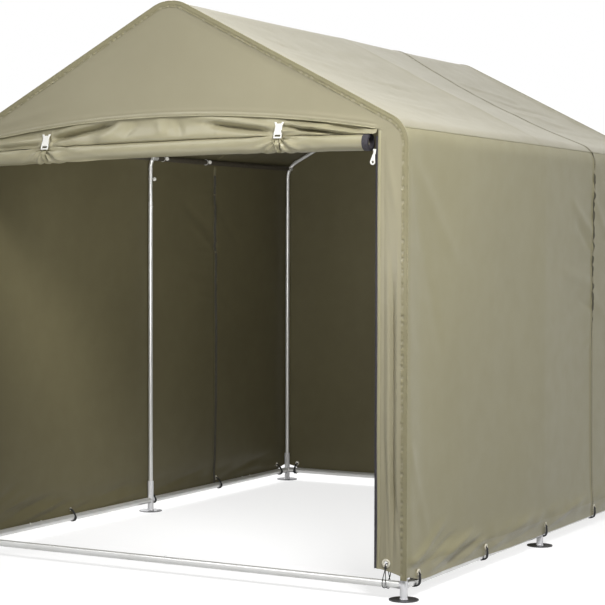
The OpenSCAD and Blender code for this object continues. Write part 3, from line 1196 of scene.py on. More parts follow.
    def seam_shape(self, y: float, z: float, depth: float, pucker: float) -> float:
        """The groove and the gathers at the seam that runs round the cover.

        Args:
            y: Place along the shelter.
            z: Place along the seam.
            depth: The groove's depth.
            pucker: How high the gathers are.

        Returns:
            How far it stands out.
        """
        off = y - self.seam_y
        groove = -depth * mound(off, 0.0034)
        welt = 0.5 * depth * (mound(off - 0.010, 0.006) + mound(off + 0.010, 0.006))
        gather = ripple(z * 17.0, y * 9.0, 4.0) + 0.7 * ripple(z * 38.0, 2.0, 9.0)
        reach = 0.055 if off < 0 else 0.018
        return groove + welt + pucker * gather * math.exp(-abs(off) / reach)

    def roof_lift(self, run: float, y: float) -> float:
        """How far the roof stands out from its outline.

        Args:
            run: Distance along the cloth from the ridge.
            y: Place along the shelter.

        Returns:
            How far it stands out.
        """
        far = abs(run)
        side = 3.0 if run < 0 else 0.0
        share = min(1.0, far / self.to_pole)
        slack = math.sin(math.pi * share) ** 0.8
        sag = -self.roof_sag * self.bay(y) * slack
        lean = y * 0.9 + far * 0.25
        waves = 0.0055 * ripple(far * 8.0 + 0.8 * y, lean * 0.8, 11.0 + side)
        waves += 0.0034 * ripple(far * 19.0 - 1.5 * y, lean * 1.6, 17.0 + side)
        waves += 0.0030 * ripple(far * 30.0 + 10.0 * y, lean * 3.0, 19.0 + side)
        rear = swell((y - self.seam_y) / 0.1)
        waves += 0.0080 * rear * ripple(far * 11.0 + 7.0 * y, lean * 1.2, 23.0 + side)
        waves += sum(crease.at(far, y) for crease in self.roof_folds)
        waves *= 1 - 0.75 * mound(y - self.seam_y, 0.075)
        rest = -self.tube_gap * slack
        seam = self.seam_shape(y, far, 0.0034, 0.0008) + 0.0034 * slack * mound(y, 0.0130)
        return (sag + waves * (0.35 + 0.65 * self.bay(y)) * slack + rest + seam) * self.edge(y)

    def wall_lift(self, run: float, y: float) -> float:
        """How far a side wall stands out from its outline.

        Args:
            run: Distance along the cloth from the ridge.
            y: Place along the shelter.

        Returns:
            How far it stands out.
        """
        z = self.hem + self.to_hem - abs(run)
        side = 5.0 if run < 0 else 0.0
        share = min(1.0, max(0.0, (abs(run) - self.to_pole) / (self.to_hem - self.to_pole)))
        slack = math.sin(math.pi * share**0.85) ** 0.9 if share < 1 else 0.0
        sag = -self.wall_sag * self.bay(y) * slack
        broad = 0.0040 * ripple(y * 2.1, z * 1.3, 31.0 + side)
        broad += 0.0010 * ripple(y * 6.0, z * 2.2, 37.0 + side)
        folds = sum(crease.at(y, z) for crease in self.puckers)
        upper = swell((z - 0.55) / 0.5)
        seam = self.seam_shape(y, z, 0.0052, 0.0006 + 0.0060 * upper)
        top = swell((abs(run) - self.to_seam) / 0.05)
        inside = self.half_l - abs(y)
        drawn = swell((inside - 0.012) / 0.12) * swell((0.52 - inside) / 0.36)
        sag -= 0.0088 * drawn * top * slack**0.5
        return (sag + (broad + folds) * top + seam * top + self.hem_lift(y, z)) * self.edge(y)

    def hem_lift(self, y: float, z: float) -> float:
        """The hem swells between its ties and is drawn in towards the rail at them.

        Args:
            y: Place along the shelter.
            z: Height.

        Returns:
            How far it stands out.
        """
        near = swell((0.17 - z) / 0.11)
        tied = max(mound(y - place, 0.055) for place in self.eyelets)
        band = 0.0055 * mound(z - 0.118, 0.030)
        crumple = 0.0060 * ripple(y * 9.0 - z * 14.0, z * 26.0, 43.0) * mound(z - 0.095, 0.045)
        return band * (1 - 0.5 * tied) - near * 0.0015 * tied + crumple * (1 - 0.6 * tied)

    def hem_rise(self, y: float) -> float:
        """How far the hem's edge lifts: up at the corners and uneven between.

        Args:
            y: Place along the shelter.

        Returns:
            The rise.
        """
        corner = 0.027 * mound(self.half_l - abs(y), 0.085)
        front = 0.0075 * mound(y + 0.85, 0.34)
        return corner + front + 0.0025 * ripple(y * 4.0, 0.0, 47.0)

    def point(self, run: float, y: float, lift: float = 0.0) -> Vector:
        """A place on the roof or a side wall.

        Args:
            run: Distance along the cloth from the ridge, negative on the left.
            y: Place along the shelter.
            lift: Extra height over the cloth.

        Returns:
            The place.
        """
        place, out = self.rib(run)
        rise = self.roof_lift(run, y) if abs(run) <= self.to_seam else self.wall_lift(run, y)
        place += out * (rise + lift)
        place.y = y
        if abs(run) > self.to_wall:
            low = swell(1 - (place.z - self.hem) / 0.12)
            place.z += self.hem_rise(y) * low
        return place


@dataclass(frozen=True)
class EndShape:
    """The cloth at one end of the shelter."""

    cover: CoverShape
    end: End
    door_half: float = 0.807
    gable_hem: float = 1.532
    arch: float = 0.066
    jamb_hem: float = 0.098
    corner_hem: float = 0.078
    folds: Tuple[Crease, ...] = ()

    def arch_z(self, x: float) -> float:
        """Height of the gable's hem."""
        return self.gable_hem + self.arch * (1 - min(1.0, (x / self.door_half) ** 2))

    def lift(self, x: float, z: float) -> float:
        """How far the end cloth stands out.

        Args:
            x: Distance from the centre plane.
            z: Height.

        Returns:
            How far it stands out.
        """
        cover = self.cover
        margin = min(cover.half_w - abs(x), (cover.roofline(x) - z) * math.cos(cover.slope))
        inside = swell(margin / 0.05)
        seed = 60.0 if self.end is End.FRONT else 80.0
        broad = 0.0040 * ripple(x * 2.4, z * 2.0, seed)
        broad += 0.0014 * ripple(x * 7.0, z * 3.0, seed + 3)
        folds = sum(crease.at(x, z) for crease in self.folds)
        if self.end is End.BACK:
            slack = math.sin(math.pi * min(1.0, max(0.0, z / 1.5)))
            broad += -0.010 * max(0.0, slack) * math.cos(min(1.0, abs(x)) * math.pi / 2)
            broad += 0.0040 * ripple(x * 9.0, z * 0.8, seed + 7) * swell((z - 0.1) / 0.3)
        else:
            hem = self.arch_z(x)
            broad += 0.0009 * ripple(x * 40.0, 1.0, 71.0) * mound(z - hem - 0.006, 0.012)
            broad -= 0.0040 * swell((z - hem) / 0.2) * swell((0.78 - abs(x)) / 0.2)
        return (broad + folds) * inside

    def hem_fold(self, x: float, up: float) -> float:
        """How far the doubled hem stands out, at a height over its edge."""
        fold = 0.0042 * (1 - swell((up - 0.009) / 0.006)) + 0.0012 * mound(up - 0.020, 0.006)
        return fold + 0.0010 * ripple(x * 34.0, up * 80.0, 73.0) * mound(up - 0.006, 0.012)

    def point(self, x: float, z: float, lift: float = 0.0) -> Vector:
        """A place on the end cloth's outer face, with extra height over it."""
        out = self.cover.half_l + self.lift(x, z) + lift
        return Vector((x, self.end.value * out, z))


FRONT_FOLDS = creases(
    (860, 1000, 864, 200, -11, 6), (845, 1100, 848, 200, 5, 9), (880, 1100, 882, 240, 5, 6.5),
    (829, 1380, 831, 120, -2, 4), (835, 500, 850, 150, -4, 5.5), (868, 360, 900, 120, -4.5, 6.5),
    (842, 1440, 872, 1280, 3, 11), (826, 1300, 850, 1100, -2.2, 8),
    (808, 1522, 872, 1527, -2.2, 6), (-861, 1050, -862, 200, -4, 4.5),
    (-846, 1300, -848, 160, 2.6, 7), (-829, 1380, -831, 120, -1.6, 3.5),
    (-872, 300, -900, 100, -2.2, 6), (-800, 1575, -500, 1640, 2.2, 14),
    (-840, 1555, -660, 1660, -2, 16), (500, 1590, 780, 1560, 1.6, 12),
)


@dataclass
class Cover:
    """The sewn cover: roof, side walls, back, gable and jambs, with their trims."""

    bench: Bench
    shape: CoverShape
    hem_h: float = 0.058
    rear_h: float = 1.951
    jamb_w: float = 0.108
    drill_l: float = 0.06
    band_w: float = 0.021
    band_wall: float = 0.0013
    band_seams: Tuple[float, float] = (0.0045, 0.0165)
    piping_r: float = 0.0024
    welt_r: float = 0.0019
    gable_welt_r: float = 0.0015
    seam_wall: float = 0.0008
    seam_lines: Tuple[float, float] = (0.004, 0.010)
    tape_wall: float = 0.0007
    binding_w: float = 0.011
    binding_wall: float = 0.0012
    pitch: float = 0.0075
    seam_pitch: float = 0.008
    hem_pitch: float = 0.009
    stitch_size: Spot = (0.0025, 0.0006, 0.0006)

    def __post_init__(self) -> None:
        """Works out the two ends, the cover's middle and the grid lines along it."""
        shape = self.shape
        self.front = EndShape(shape, End.FRONT, folds=FRONT_FOLDS)
        self.back = EndShape(shape, End.BACK)
        self.middle = Vector((0, 0, 0.9))
        self.lengthwise = stations(
            -shape.half_l, shape.half_l, 0.024,
            [(shape.seam_y, 0.014, 0.0030), (0.0, 0.02, 0.008),
             (-shape.half_l, 0.02, 0.010), (shape.half_l, 0.02, 0.010)],
        )

    def build(self) -> None:
        """Makes every part of the cover."""
        self.roof()
        for side in Side:
            self.side_wall(side)
        self.rear_wall()
        self.gable()
        for side in Side:
            self.jamb(side)
        for end in End:
            self.edge_trim(end)
        self.round_seam()
        for side in Side:
            self.eave_seam(side)
            self.hem_stitches(side)
        self.gable_trim()

    def roof(self) -> None:
        """One continuous sheet from eave to eave."""
        shape = self.shape
        close = [(0.0, 0.08, 0.010), (shape.to_seam, 0.05, 0.008)]
        rows = both_ways(stations(0.0, shape.to_seam, 0.022, close))
        piece = self.bench.weave(
            "roof_cloth", self.lengthwise, rows, lambda y, run: shape.point(run, y),
            shape.wall, self.middle, (OUTER_CLOTH, INNER_SHADED_CLOTH),
        )
        self.bench.settle(piece, "roof_cloth", Slot.COVER, ("roof_left", "roof_right"))
        2 * shape.to_seam

    def side_wall(self, side: Side) -> None:
        """A wall from the roof's seam down to the hem, with its tie holes.

        Args:
            side: Which side.
        """
        shape = self.shape
        rows = stations(
            shape.to_seam, shape.to_hem, 0.012,
            [(shape.to_seam, 0.04, 0.008), (shape.to_hem - 0.06, 0.08, 0.0065)],
        )
        name = f"{side.word}_wall_cloth"
        piece = self.bench.weave(
            name, self.lengthwise, rows, lambda y, run: shape.point(side.value * run, y),
            shape.wall, self.middle, (SHADED_WALL_CLOTH, INNER_SHADED_CLOTH),
        )
        self.paint_hem_shade(piece)
        places = [Vector((side.value * shape.half_w, y, shape.eyelet_z)) for y in shape.eyelets]
        self.pierce(piece, places, ALONG_X)
        self.bench.settle(piece, name, Slot.COVER, (f"{side.word}_wall",))
        shape.to_hem - shape.to_seam

    def pierce(self, piece: Piece, places: Sequence[Vector], axis: Vector) -> None:
        """Cuts the eyelets' holes through a sheet."""
        rods = [self.bench.rod(self.shape.eyelet_hole, self.drill_l, at, axis) for at in places]
        self.bench.carve(piece, self.bench.join(rods))

    def paint_hem_shade(self, piece: Piece) -> None:
        """Paints the doubled cloth of the hem a little darker, as painted shade of the band that
        turns in towards the rail.

        Args:
            piece: A wall or the back.
        """
        self.bench.coat(piece, SHADED_HEM_CLOTH)
        for face in piece.data.polygons:
            if face.material_index == 0 and face.center.z < self.shape.hem + self.hem_h:
                face.material_index = 2

    def rear_wall(self) -> None:
        """The plain back of the cover."""
        shape, back = self.shape, self.back
        columns = both_ways(stations(0.0, shape.half_w, 0.026, [(shape.half_w, 0.05, 0.009)]))
        rows = stations(0.0, 1.0, 0.022, [(0.0, 0.05, 0.006), (1.0, 0.02, 0.010)])

        def surface(x: float, share: float) -> Vector:
            """A place on the back, from the hem up to the roofline."""
            low = shape.hem + 0.027 * mound(shape.half_w - abs(x), 0.085)
            return back.point(x, low + share * (shape.roofline(x) - low))

        piece = self.bench.weave(
            "rear_wall_cloth", columns, rows, surface, shape.wall, self.middle,
            (SHADED_WALL_CLOTH, INNER_SHADED_CLOTH), cut=lambda x, share: (x, share * 1.7),
        )
        self.paint_hem_shade(piece)
        places = [Vector((x, shape.half_l, shape.eyelet_z)) for x in shape.rear_eyelets]
        self.pierce(piece, places, ALONG_Y)
        self.bench.settle(piece, "rear_wall_cloth", Slot.COVER, ("rear_wall",))
        self.end_area(shape.hem)

    def end_area(self, low: float) -> float:
        """Area of an end of the cover above a height.

        Args:
            low: The height.

        Returns:
            The area in square metres.
        """
        steps = 200
        strip = 2 * self.shape.half_w / steps
        places = [-self.shape.half_w + strip * (index + 0.5) for index in range(steps)]
        return sum((self.shape.roofline(x) - low) * strip for x in places)

    def gable(self) -> None:
        """The triangle over the doorway, down to its arched hem."""
        shape, front = self.shape, self.front
        widest = shape.breadth(front.gable_hem)
        columns = both_ways(stations(0.0, widest, 0.018, [(widest, 0.11, 0.008)]))
        rows = [-0.02, -0.01] + stations(0.0, 1.0, 0.030, [(0.0, 0.05, 0.0065), (1.0, 0.05, 0.012)])

        def surface(x: float, share: float) -> Vector:
            """A place on the gable, from its hem up to the roofline.

            Args:
                x: Distance from the centre plane.
                share: How far up, from 0 to 1, or below 0 in the turned-in hem.

            Returns:
                The place.
            """
            low = front.arch_z(x)
            z = low + max(0.0, share) * max(0.0, shape.roofline(x) - low)
            free = swell((front.door_half - abs(x)) / 0.03)
            tucked = max(0.0, -share) * 100
            place = front.point(x, z, front.hem_fold(x, z - low) * free)
            return place + Vector((0, 0.0022 * tucked * free, 0.0008 * tucked * free))

        piece = self.bench.weave(
            "front_gable_cloth", columns, rows, surface, shape.wall, self.middle,
            (OUTER_CLOTH, INNER_SHADED_CLOTH), cut=lambda x, share: (x, share * 0.45),
        )
        self.bench.settle(piece, "front_gable_cloth", Slot.COVER, ("front_gable",))
        strip = 2 * widest / 200
        places = [-widest + strip * (index + 0.5) for index in range(200)]
        area = sum(max(0.0, shape.roofline(x) - front.arch_z(x)) * strip for x in places)
        shape.roofline(0) - front.gable_hem

    def jamb(self, side: Side) -> None:
        """The strip beside the doorway.

        Args:
            side: Which side.
        """
        shape, front = self.shape, self.front
        columns = stations(0.0, 1.0, 0.05, [(0.5, 0.2, 0.025)])
        rows = stations(
            front.corner_hem, front.gable_hem, 0.028,
            [(front.corner_hem, 0.09, 0.008), (front.gable_hem, 0.05, 0.010)],
        )
        span = front.gable_hem - front.corner_hem

        def surface(share: float, level: float) -> Vector:
            """A place on the jamb, from the doorway out to the corner.

            Args:
                share: How far out, from 0 to 1.
                level: The height, before the hem is shaped.

            Returns:
                The place.
            """
            x = front.door_half + share * (shape.breadth(level) - front.door_half)
            across = (x - front.door_half) / (shape.half_w - front.door_half)
            hem = front.jamb_hem + (front.corner_hem - 0.005 - front.jamb_hem) * across**1.4
            z = hem + (level - front.corner_hem) / span * (front.gable_hem - hem)
            return front.point(side.value * x, z)

        name = f"front_{side.word}_jamb_cloth"
        piece = self.bench.weave(
            name, columns, rows, surface, shape.wall, self.middle, (OUTER_CLOTH, INNER_SHADED_CLOTH),
            cut=lambda share, level: (share * self.jamb_w, level),
        )
        place = Vector((side.value * shape.jamb_eyelet_x, -shape.half_l, shape.jamb_eyelet_z))
        self.bench.carve(piece, self.bench.rod(shape.jamb_hole, self.drill_l, place, ALONG_Y))
        self.bench.settle(piece, name, Slot.COVER, (f"front_{side.word}_jamb",))
        front.gable_hem - front.corner_hem

    def edge_trim(self, end: End) -> None:
        """The doubled band, the piping and the stitches round one end of the cover.

        Args:
            end: Which end.
        """
        shape = self.shape
        plane = self.front if end is End.FRONT else self.back
        reach = shape.to_hem - 0.020
        first, second = self.band_seams
        columns = both_ways(stations(0.0, reach, 0.0045))
        rows = [0.0015, 0.004, 0.007, 0.010, 0.013, 0.016, 0.019, self.band_w]

        def lift(run: float, inwards: float) -> float:
            """Height of the band over the end cloth, drawn down at its stitches.

            Args:
                run: Distance along the cloth from the ridge.
                inwards: Distance in from the cover's edge.

            Returns:
                How far it stands out.
            """
            stitched = mound(inwards - first, 0.002) + mound(inwards - second, 0.002)
            dent = swell(0.30 + 1.9 * ripple(run * 86.0, 0.0, 51.0))
            crimp = 0.0018 * ripple(run * 110.0, inwards * 60, 53.0) - 0.0046 * dent
            return 0.0024 - 0.0010 * stitched + crimp * mound(inwards - 0.0175, 0.0042)

        def surface(run: float, inwards: float) -> Vector:
            """A place on the band.

            Args:
                run: Distance along the cloth from the ridge.
                inwards: Distance in from the cover's edge.

            Returns:
                The place.
            """
            edge, out = shape.rib(run)
            place = edge - out * inwards
            return plane.point(place.x, place.z, lift(run, inwards))

        name = f"{end.word}_edge"
        band = self.bench.weave(
            f"{name}_band", columns, rows, surface, self.band_wall, self.middle,
            (SHADED_BAND_CLOTH, SHADED_BAND_CLOTH),
        )
        self.bench.settle(band, f"{name}_band", Slot.COVER)
        path = []
        for run in columns:
            edge, out = shape.rib(run)
            path.append(edge - out * 0.0004 + Vector((0, end.value * (shape.half_l - 0.0002), 0)))
        piping = self.bench.tube(f"{name}_piping", path, self.piping_r, SHADED_BAND_CLOTH)
        self.bench.settle(piping, f"{name}_piping", Slot.COVER)
        out = Vector((0, end.value, 0))
        # The inner row is sewn in darker thread: painted shade of the stitch line.
        for row, inwards, thread in (("outer", first, THREAD), ("inner", second, SHADE_STITCH_THREAD)):
            line = [surface(run, inwards) for run in self.steps(-reach, reach, self.pitch)]
            self.stitch(f"{name}_{row}_stitches", self.stitch_places(line, out), thread)

    @staticmethod
    def steps(start: float, end: float, pitch: float) -> List[float]:
        """Evenly spaced places."""
        count = int(abs(end - start) / pitch)
        return [start + (end - start) * index / count for index in range(count + 1)]

    @staticmethod
    def stitch_places(line: Sequence[Vector], out: Vector) -> List[Matrix]:
        """Where each stitch of a line goes, along the line and flat on the cloth.

        Args:
            line: Places along the line.
            out: Which way the cloth faces.

        Returns:
            The stand of each stitch.
        """
        places = []
        for first, second in zip(line, line[1:]):
            along = (second - first).normalized()
            across = out.cross(along).normalized()
            up = along.cross(across)
            turn = Matrix((along, across, up)).transposed().to_4x4()
            places.append(Matrix.Translation((first + second) / 2) @ turn)
        return places

    def seam_gap(self) -> None:
        """The raw edge in the seam's groove, bunched where the wall's cloth is gathered, coloured
        near black as painted shade of the groove.
        """
        shape = self.shape
        reach = shape.to_hem - 0.003
        for side in Side:
            sign = side.value

            def surface(run: float, across: float) -> Vector:
                """A place on the bunched edge, wider where the cloth is gathered.

                Args:
                    run: Distance along the cloth from the ridge.
                    across: Place across the edge, from -1 to 1.

                Returns:
                    The place.
                """
                base = shape.point(sign * run, shape.seam_y)
                upper = swell((base.z - 0.70) / 0.25) * swell((1.50 - base.z) / 0.05)
                bunch = swell(ripple(base.z * 27.0, sign, 151.0) * 2.8 + 0.45)
                wide = 0.0030 + 0.0074 * upper * bunch
                shift = 0.0025 * upper * ripple(base.z * 30.0, 5.0, 157.0) - 0.0012
                crown = 0.0022 + 0.0018 * (1 - across**2)
                return shape.point(sign * run, shape.seam_y + shift + across * wide, crown)

            columns = stations(0.0, reach, 0.0045)
            piece = self.bench.weave(
                f"{side.word}_seam_edge", columns, [-1.0, -0.5, 0.0, 0.5, 1.0], surface,
                self.seam_wall, self.middle, (SEAM_SHADE_THREAD, SEAM_SHADE_THREAD),
                cut=lambda run, across: (run, across * 0.004),
            )
            self.bench.settle(piece, f"{side.word}_seam_edge", Slot.COVER)
            self.seam_tape(side, reach)

    def seam_tape(self, side: Side, reach: float) -> None:
        """The tape over the seam inside the cover, coloured near black as a painted shadow line
        along the seam.

        Args:
            side: Which side.
            reach: How far down it runs.
        """
        shape = self.shape
        rows = [-0.007, -0.004, -0.002, 0.0, 0.002, 0.005, 0.009]
        columns = stations(shape.to_wall + 0.01, reach, 0.02)

        def surface(run: float, across: float) -> Vector:
            """A place on the tape, just inside the cloth."""
            inside = -shape.wall - 0.0004
            return shape.point(side.value * run, shape.seam_y + across, inside)

        tape = self.bench.weave(
            f"{side.word}_seam_tape", columns, rows, surface, self.tape_wall, self.middle,
            (SEAM_SHADE_TAPE, SEAM_SHADE_TAPE),
        )
        self.bench.settle(tape, f"{side.word}_seam_tape", Slot.COVER)

    def stitch(self, name: str, places: Sequence[Matrix], thread: Webbing = THREAD) -> None:
        """Sews one mesh of stitches.

        Args:
            name: The piece's name.
            places: The stand of each stitch.
            thread: Its finish.
        """
        self.bench.clear()
        bpy.ops.mesh.primitive_ico_sphere_add(subdivisions=1, radius=1.0)
        pattern = bpy.context.object
        pattern.scale = self.stitch_size
        self.bench.fix(pattern)
        self.bench.coat(pattern, thread)
        self.bench.settle(self.bench.repeat(name, pattern, places), name, Slot.COVER)

    def round_seam(self) -> None:
        """The felled seam that runs over the cover from hem to hem, and its stitches."""
        shape = self.shape
        reach = shape.to_hem - 0.004
        columns = both_ways(stations(0.0, reach, 0.012))
        rows = [0.0012, 0.004, 0.008, 0.012]

        def surface(run: float, across: float) -> Vector:
            """A place on the seam's upper layer."""
            edge = mound(across - 0.0012, 0.002) * 0.0008
            return shape.point(run, shape.seam_y + across, 0.0007 + edge)

        seam = self.bench.weave(
            "cover_seam", columns, rows, surface, self.seam_wall, self.middle,
            (OUTER_CLOTH, INNER_SHADED_CLOTH),
        )
        self.bench.settle(seam, "cover_seam", Slot.COVER)
        marks = []
        for across in self.seam_lines:
            runs = self.steps(-reach, reach, self.seam_pitch)
            for first, second in zip(runs, runs[1:]):
                _, out = shape.rib((first + second) / 2)
                pair = [surface(first, across), surface(second, across)]
                marks += self.stitch_places(pair, out)
        # The seam's stitches are near black: painted shade along the seam.
        self.stitch("cover_seam_stitches", marks, SEAM_SHADE_THREAD)
        self.seam_gap()

    def eave_seam(self, side: Side) -> None:
        """The welt where the roof is sewn to a side wall.

        Args:
            side: Which side.
        """
        shape = self.shape
        path = [shape.point(side.value * shape.to_seam, y, 0.0002) for y in self.lengthwise]
        name = f"{side.word}_eave_welt"
        welt = self.bench.tube(name, path, self.welt_r, TRIM_CLOTH, roundness=2)
        self.bench.settle(welt, name, Slot.COVER)
        ys = self.steps(-shape.half_l + 0.004, shape.half_l - 0.004, self.seam_pitch)
        run = side.value * (shape.to_seam - 0.005)
        _, out = shape.rib(run)
        marks = self.stitch_places([shape.point(run, y, 0.0002) for y in ys], out)
        self.stitch(f"{side.word}_eave_stitches", marks)

    def hem_stitches(self, side: Side) -> None:
        """The stitch line at the top of a side wall's hem.

        Args:
            side: Which side.
        """
        shape = self.shape
        ys = self.steps(-shape.half_l + 0.01, shape.half_l - 0.01, self.hem_pitch)
        run = side.value * (shape.to_hem - self.hem_h)
        marks = self.stitch_places(
            [shape.point(run, y, 0.0002) for y in ys], Vector((side.value, 0, 0))
        )
        self.stitch(f"{side.word}_hem_stitches", marks)

    def gable_trim(self) -> None:
        """The stitches along the gable's hem and the jambs' bindings."""
        front = self.front
        marks = []
        out = Vector((0, -1, 0))
        for up in (0.003, 0.0125):
            xs = self.steps(0.02 - front.door_half, front.door_half - 0.02, self.pitch)
            marks += self.stitch_places(
                [front.point(x, front.arch_z(x) + up, front.hem_fold(x, up) + 0.0002) for x in xs],
                out,
            )
        for side in Side:
            for inwards in (0.013, 0.027):
                x = side.value * (front.door_half + inwards)
                zs = self.steps(0.10, 1.53, self.pitch)
                marks += self.stitch_places([front.point(x, z, 0.0003) for z in zs], out)
        self.stitch("front_stitches", marks)
        # The hem welt is pale: a painted highlight on the hem's lower edge.
        path = []
        for x in self.steps(0.012 - front.door_half, front.door_half - 0.012, 0.012):
            path.append(front.point(x, front.arch_z(x) + 0.0006, front.hem_fold(x, 0.0) - 0.0004))
        welt = self.bench.tube("gable_hem_welt", path, self.gable_welt_r, HIGHLIGHT_WELT_CLOTH, roundness=2)
        self.bench.settle(welt, "gable_hem_welt", Slot.COVER)
        for side in Side:
            self.binding(side)

    def binding(self, side: Side) -> None:
        """The pale folded edge of a jamb along the doorway.

        Args:
            side: Which side.
        """
        front = self.front
        rows = stations(0.0, self.binding_w, 0.0022)
        columns = stations(front.jamb_hem - 0.001, front.gable_hem - 0.006, 0.012)

        def surface(z: float, across: float) -> Vector:
            """A place on the binding.

            Args:
                z: Height.
                across: Distance from the doorway.

            Returns:
                The place.
            """
            roll = 0.0022 * math.sin(math.pi * min(1.0, across / self.binding_w)) ** 0.6
            uneven = 0.0005 * ripple(z * 30.0, across * 60.0, 91.0)
            x = side.value * (front.door_half + across - 0.0006)
            return front.point(x, z, 0.0002 + roll + uneven)

        name = f"{side.word}_jamb_binding"
        piece = self.bench.weave(
            name, columns, rows, surface, self.binding_wall, self.middle, (TRIM_CLOTH, TRIM_CLOTH)
        )
        self.bench.settle(piece, name, Slot.COVER)


# ---- The door ----


@dataclass
class RolledDoor:
    """The door, rolled up and hung under the gable's hem by two clips."""

    bench: Bench
    front: EndShape
    top_half: float = 0.804
    fabric_half: float = 0.765
    end_l: float = 0.0155
    roll_r: float = 0.028
    roll_h: float = 1.478
    fall: float = 0.022 / 1.496
    bow: float = 0.009
    turns: int = 9
    layer: float = 0.00105
    clips: Tuple[float, float] = (-0.525, 0.441)
    clip_turn: float = math.radians(226)
    drape_steps: int = 30
    roll_steps: int = 20
    wall: float = 0.0006
    flat_l: float = 1.46
    tape_wall: float = 0.0009
    tape_w: float = 0.010
    tape_out: float = 0.0008
    tooth: Spot = (0.0032, 0.0026, 0.0013)
    tooth_pitch: float = 0.0024
    slider_size: Spot = (0.011, 0.0044, 0.017)
    slider_z: float = 1.458
    pull_r: float = 0.0094
    pull_hole: float = 0.0042
    clip_size: Spot = (0.031, 0.052, 0.004)
    clip_lean: float = math.radians(15)
    drape_folds: Tuple[Crease, ...] = creases(
        (440, 1532, 640, 1556, 7, 8.5), (470, 1560, 735, 1518, 8, 7),
        (470, 1546, 745, 1510, -10, 5.5), (520, 1575, 765, 1524, -5, 5),
        (100, 1592, 400, 1556, 8, 12), (160, 1570, 410, 1530, -10, 11),
        (20, 1588, 55, 1530, -4.5, 9), (-50, 1592, -20, 1535, 3.5, 15),
        (-200, 1583, -300, 1515, 4, 18), (-140, 1583, -180, 1530, -3.5, 12),
        (-490, 1532, -260, 1578, -17, 10), (-490, 1552, -330, 1588, 6, 9),
        (-560, 1530, -760, 1520, 6, 11), (-560, 1512, -740, 1500, -7, 7),
    )

    def build(self) -> None:
        """Makes the door and its fittings."""
        self.cloth()
        for side in Side:
            self.roll_end(side)
            self.zip_side(side)
        self.sliders()
        for side, x in zip(Side, self.clips):
            self.strap(side, x)
        self.roll_clips()

    @property
    def axis_y(self) -> float:
        """Where the roll's axis lies."""
        return -self.front.cover.half_l + 0.0015

    def axis_z(self, x: float) -> float:
        """Height of the roll's axis: lower on the left, and bowed up between its ends."""
        return self.roll_h + x * self.fall + self.bow * (1 - (x / self.fabric_half) ** 2)

    def pinch(self, x: float) -> float:
        """How strongly the nearest clip gathers the cloth: 1 at it, 0 away from it."""
        return max(mound(x - clip, 0.045) for clip in self.clips)

    def radius(self, x: float, turn: float) -> float:
        """The roll's radius at a place along it and a turn round it.

        Args:
            x: Place along the roll.
            turn: Turn round it, in radians.

        Returns:
            The radius.
        """
        size = self.roll_r - self.layer * turn / (2 * math.pi)
        round_by = turn % (2 * math.pi)
        size += 0.0008 * ripple(x * 9.0, 1.2 * math.cos(round_by), 101.0)
        size += 0.0006 * ripple(x * 3.0 + math.sin(round_by), 1.5 * math.cos(round_by), 107.0)
        for clip in self.clips:
            off = x - clip
            down = (self.clip_turn - round_by) * self.roll_r
            far = math.hypot(0.62 * off, down)
            lean = math.atan2(off, down)
            fan = math.cos(12.0 * lean + 2.6 * ripple(x * 16.0, round_by, 109.0))
            size += 0.0092 * fan * math.exp(-far / 0.050) * swell(far / 0.014)
            size -= 0.0060 * mound(off, 0.017) * (0.6 + 0.4 * math.cos(round_by - self.clip_turn))
            size += 0.0012 * mound(abs(off) - 0.055, 0.030)
        return size

    def on_roll(self, x: float, turn: float, lift: float = 0.0) -> Vector:
        """A place on the roll; the turn starts at the back and goes down and round.

        Args:
            x: Place along the roll.
            turn: Turn round it, in radians.
            lift: Height over it.

        Returns:
            The place.
        """
        size = self.radius(x, turn) + lift
        y = self.axis_y + size * math.cos(turn)
        return Vector((x, y, self.axis_z(x) - size * math.sin(turn)))

    def drape(self, x: float, share: float) -> Vector:
        """A place on the loose cloth between the gable's hem and the roll's back.

        Args:
            x: Place along the door.
            share: How far down, from 0 at the hem to 1.

        Returns:
            The place.
        """
        start = Vector((x, self.axis_y + 0.0020, self.front.arch_z(x) + 0.013))
        rest_turn = -math.pi / 2 - 0.42
        crown = self.on_roll(x, rest_turn, 0.0012)
        tuck = 0.74
        if share > tuck:
            turn = rest_turn * (1 - (share - tuck) / (1 - tuck))
            return self.on_roll(x, turn, 0.0012)
        way = share / tuck
        height = start.z - crown.z
        loose = (1 - 0.85 * self.pinch(x)) * min(1.0, height / 0.06)
        bulge = 0.030 * loose * (0.12 + 0.88 * swell((self.top_half - abs(x)) / 0.07))
        first = Vector((x, start.y + 0.34 * bulge, start.z - 0.55 * height))
        second = Vector((x, crown.y - 0.55 * bulge - 0.001, crown.z + 0.16 * height))
        rest = 1 - way
        place = (
            start * rest**3 + first * (3 * rest**2 * way)
            + second * (3 * rest * way**2) + crown * way**3
        )
        slack = math.sin(math.pi * way) ** 0.7
        fold = sum(crease.at(x, place.z) for crease in self.drape_folds)
        fold += 0.0030 * ripple(x * 11.0, place.z * 16.0, 113.0)
        fold += 0.0034 * ripple(x * 4.5, place.z * 9.0, 117.0)
        place.y -= 2.0 * fold * slack * (0.5 + 0.5 * min(1.0, height / 0.05))
        return place

    def cloth(self) -> None:
        """The whole door as one sheet: the loose part, then the turns of the roll."""
        drape_rows = [-1 + index / self.drape_steps for index in range(self.drape_steps)]
        count = (self.turns - 1) * self.roll_steps
        fine_turn = [2 * math.pi * index / 48 for index in range(48)]
        roll_rows = fine_turn + [
            2 * math.pi * (1 + index / self.roll_steps) for index in range(count + 1)
        ]
        fine = [(clip, 0.06, 0.0032) for clip in self.clips] + [(0.76, 0.05, 0.009)]
        columns = stations(-self.top_half, self.top_half, 0.013, fine)

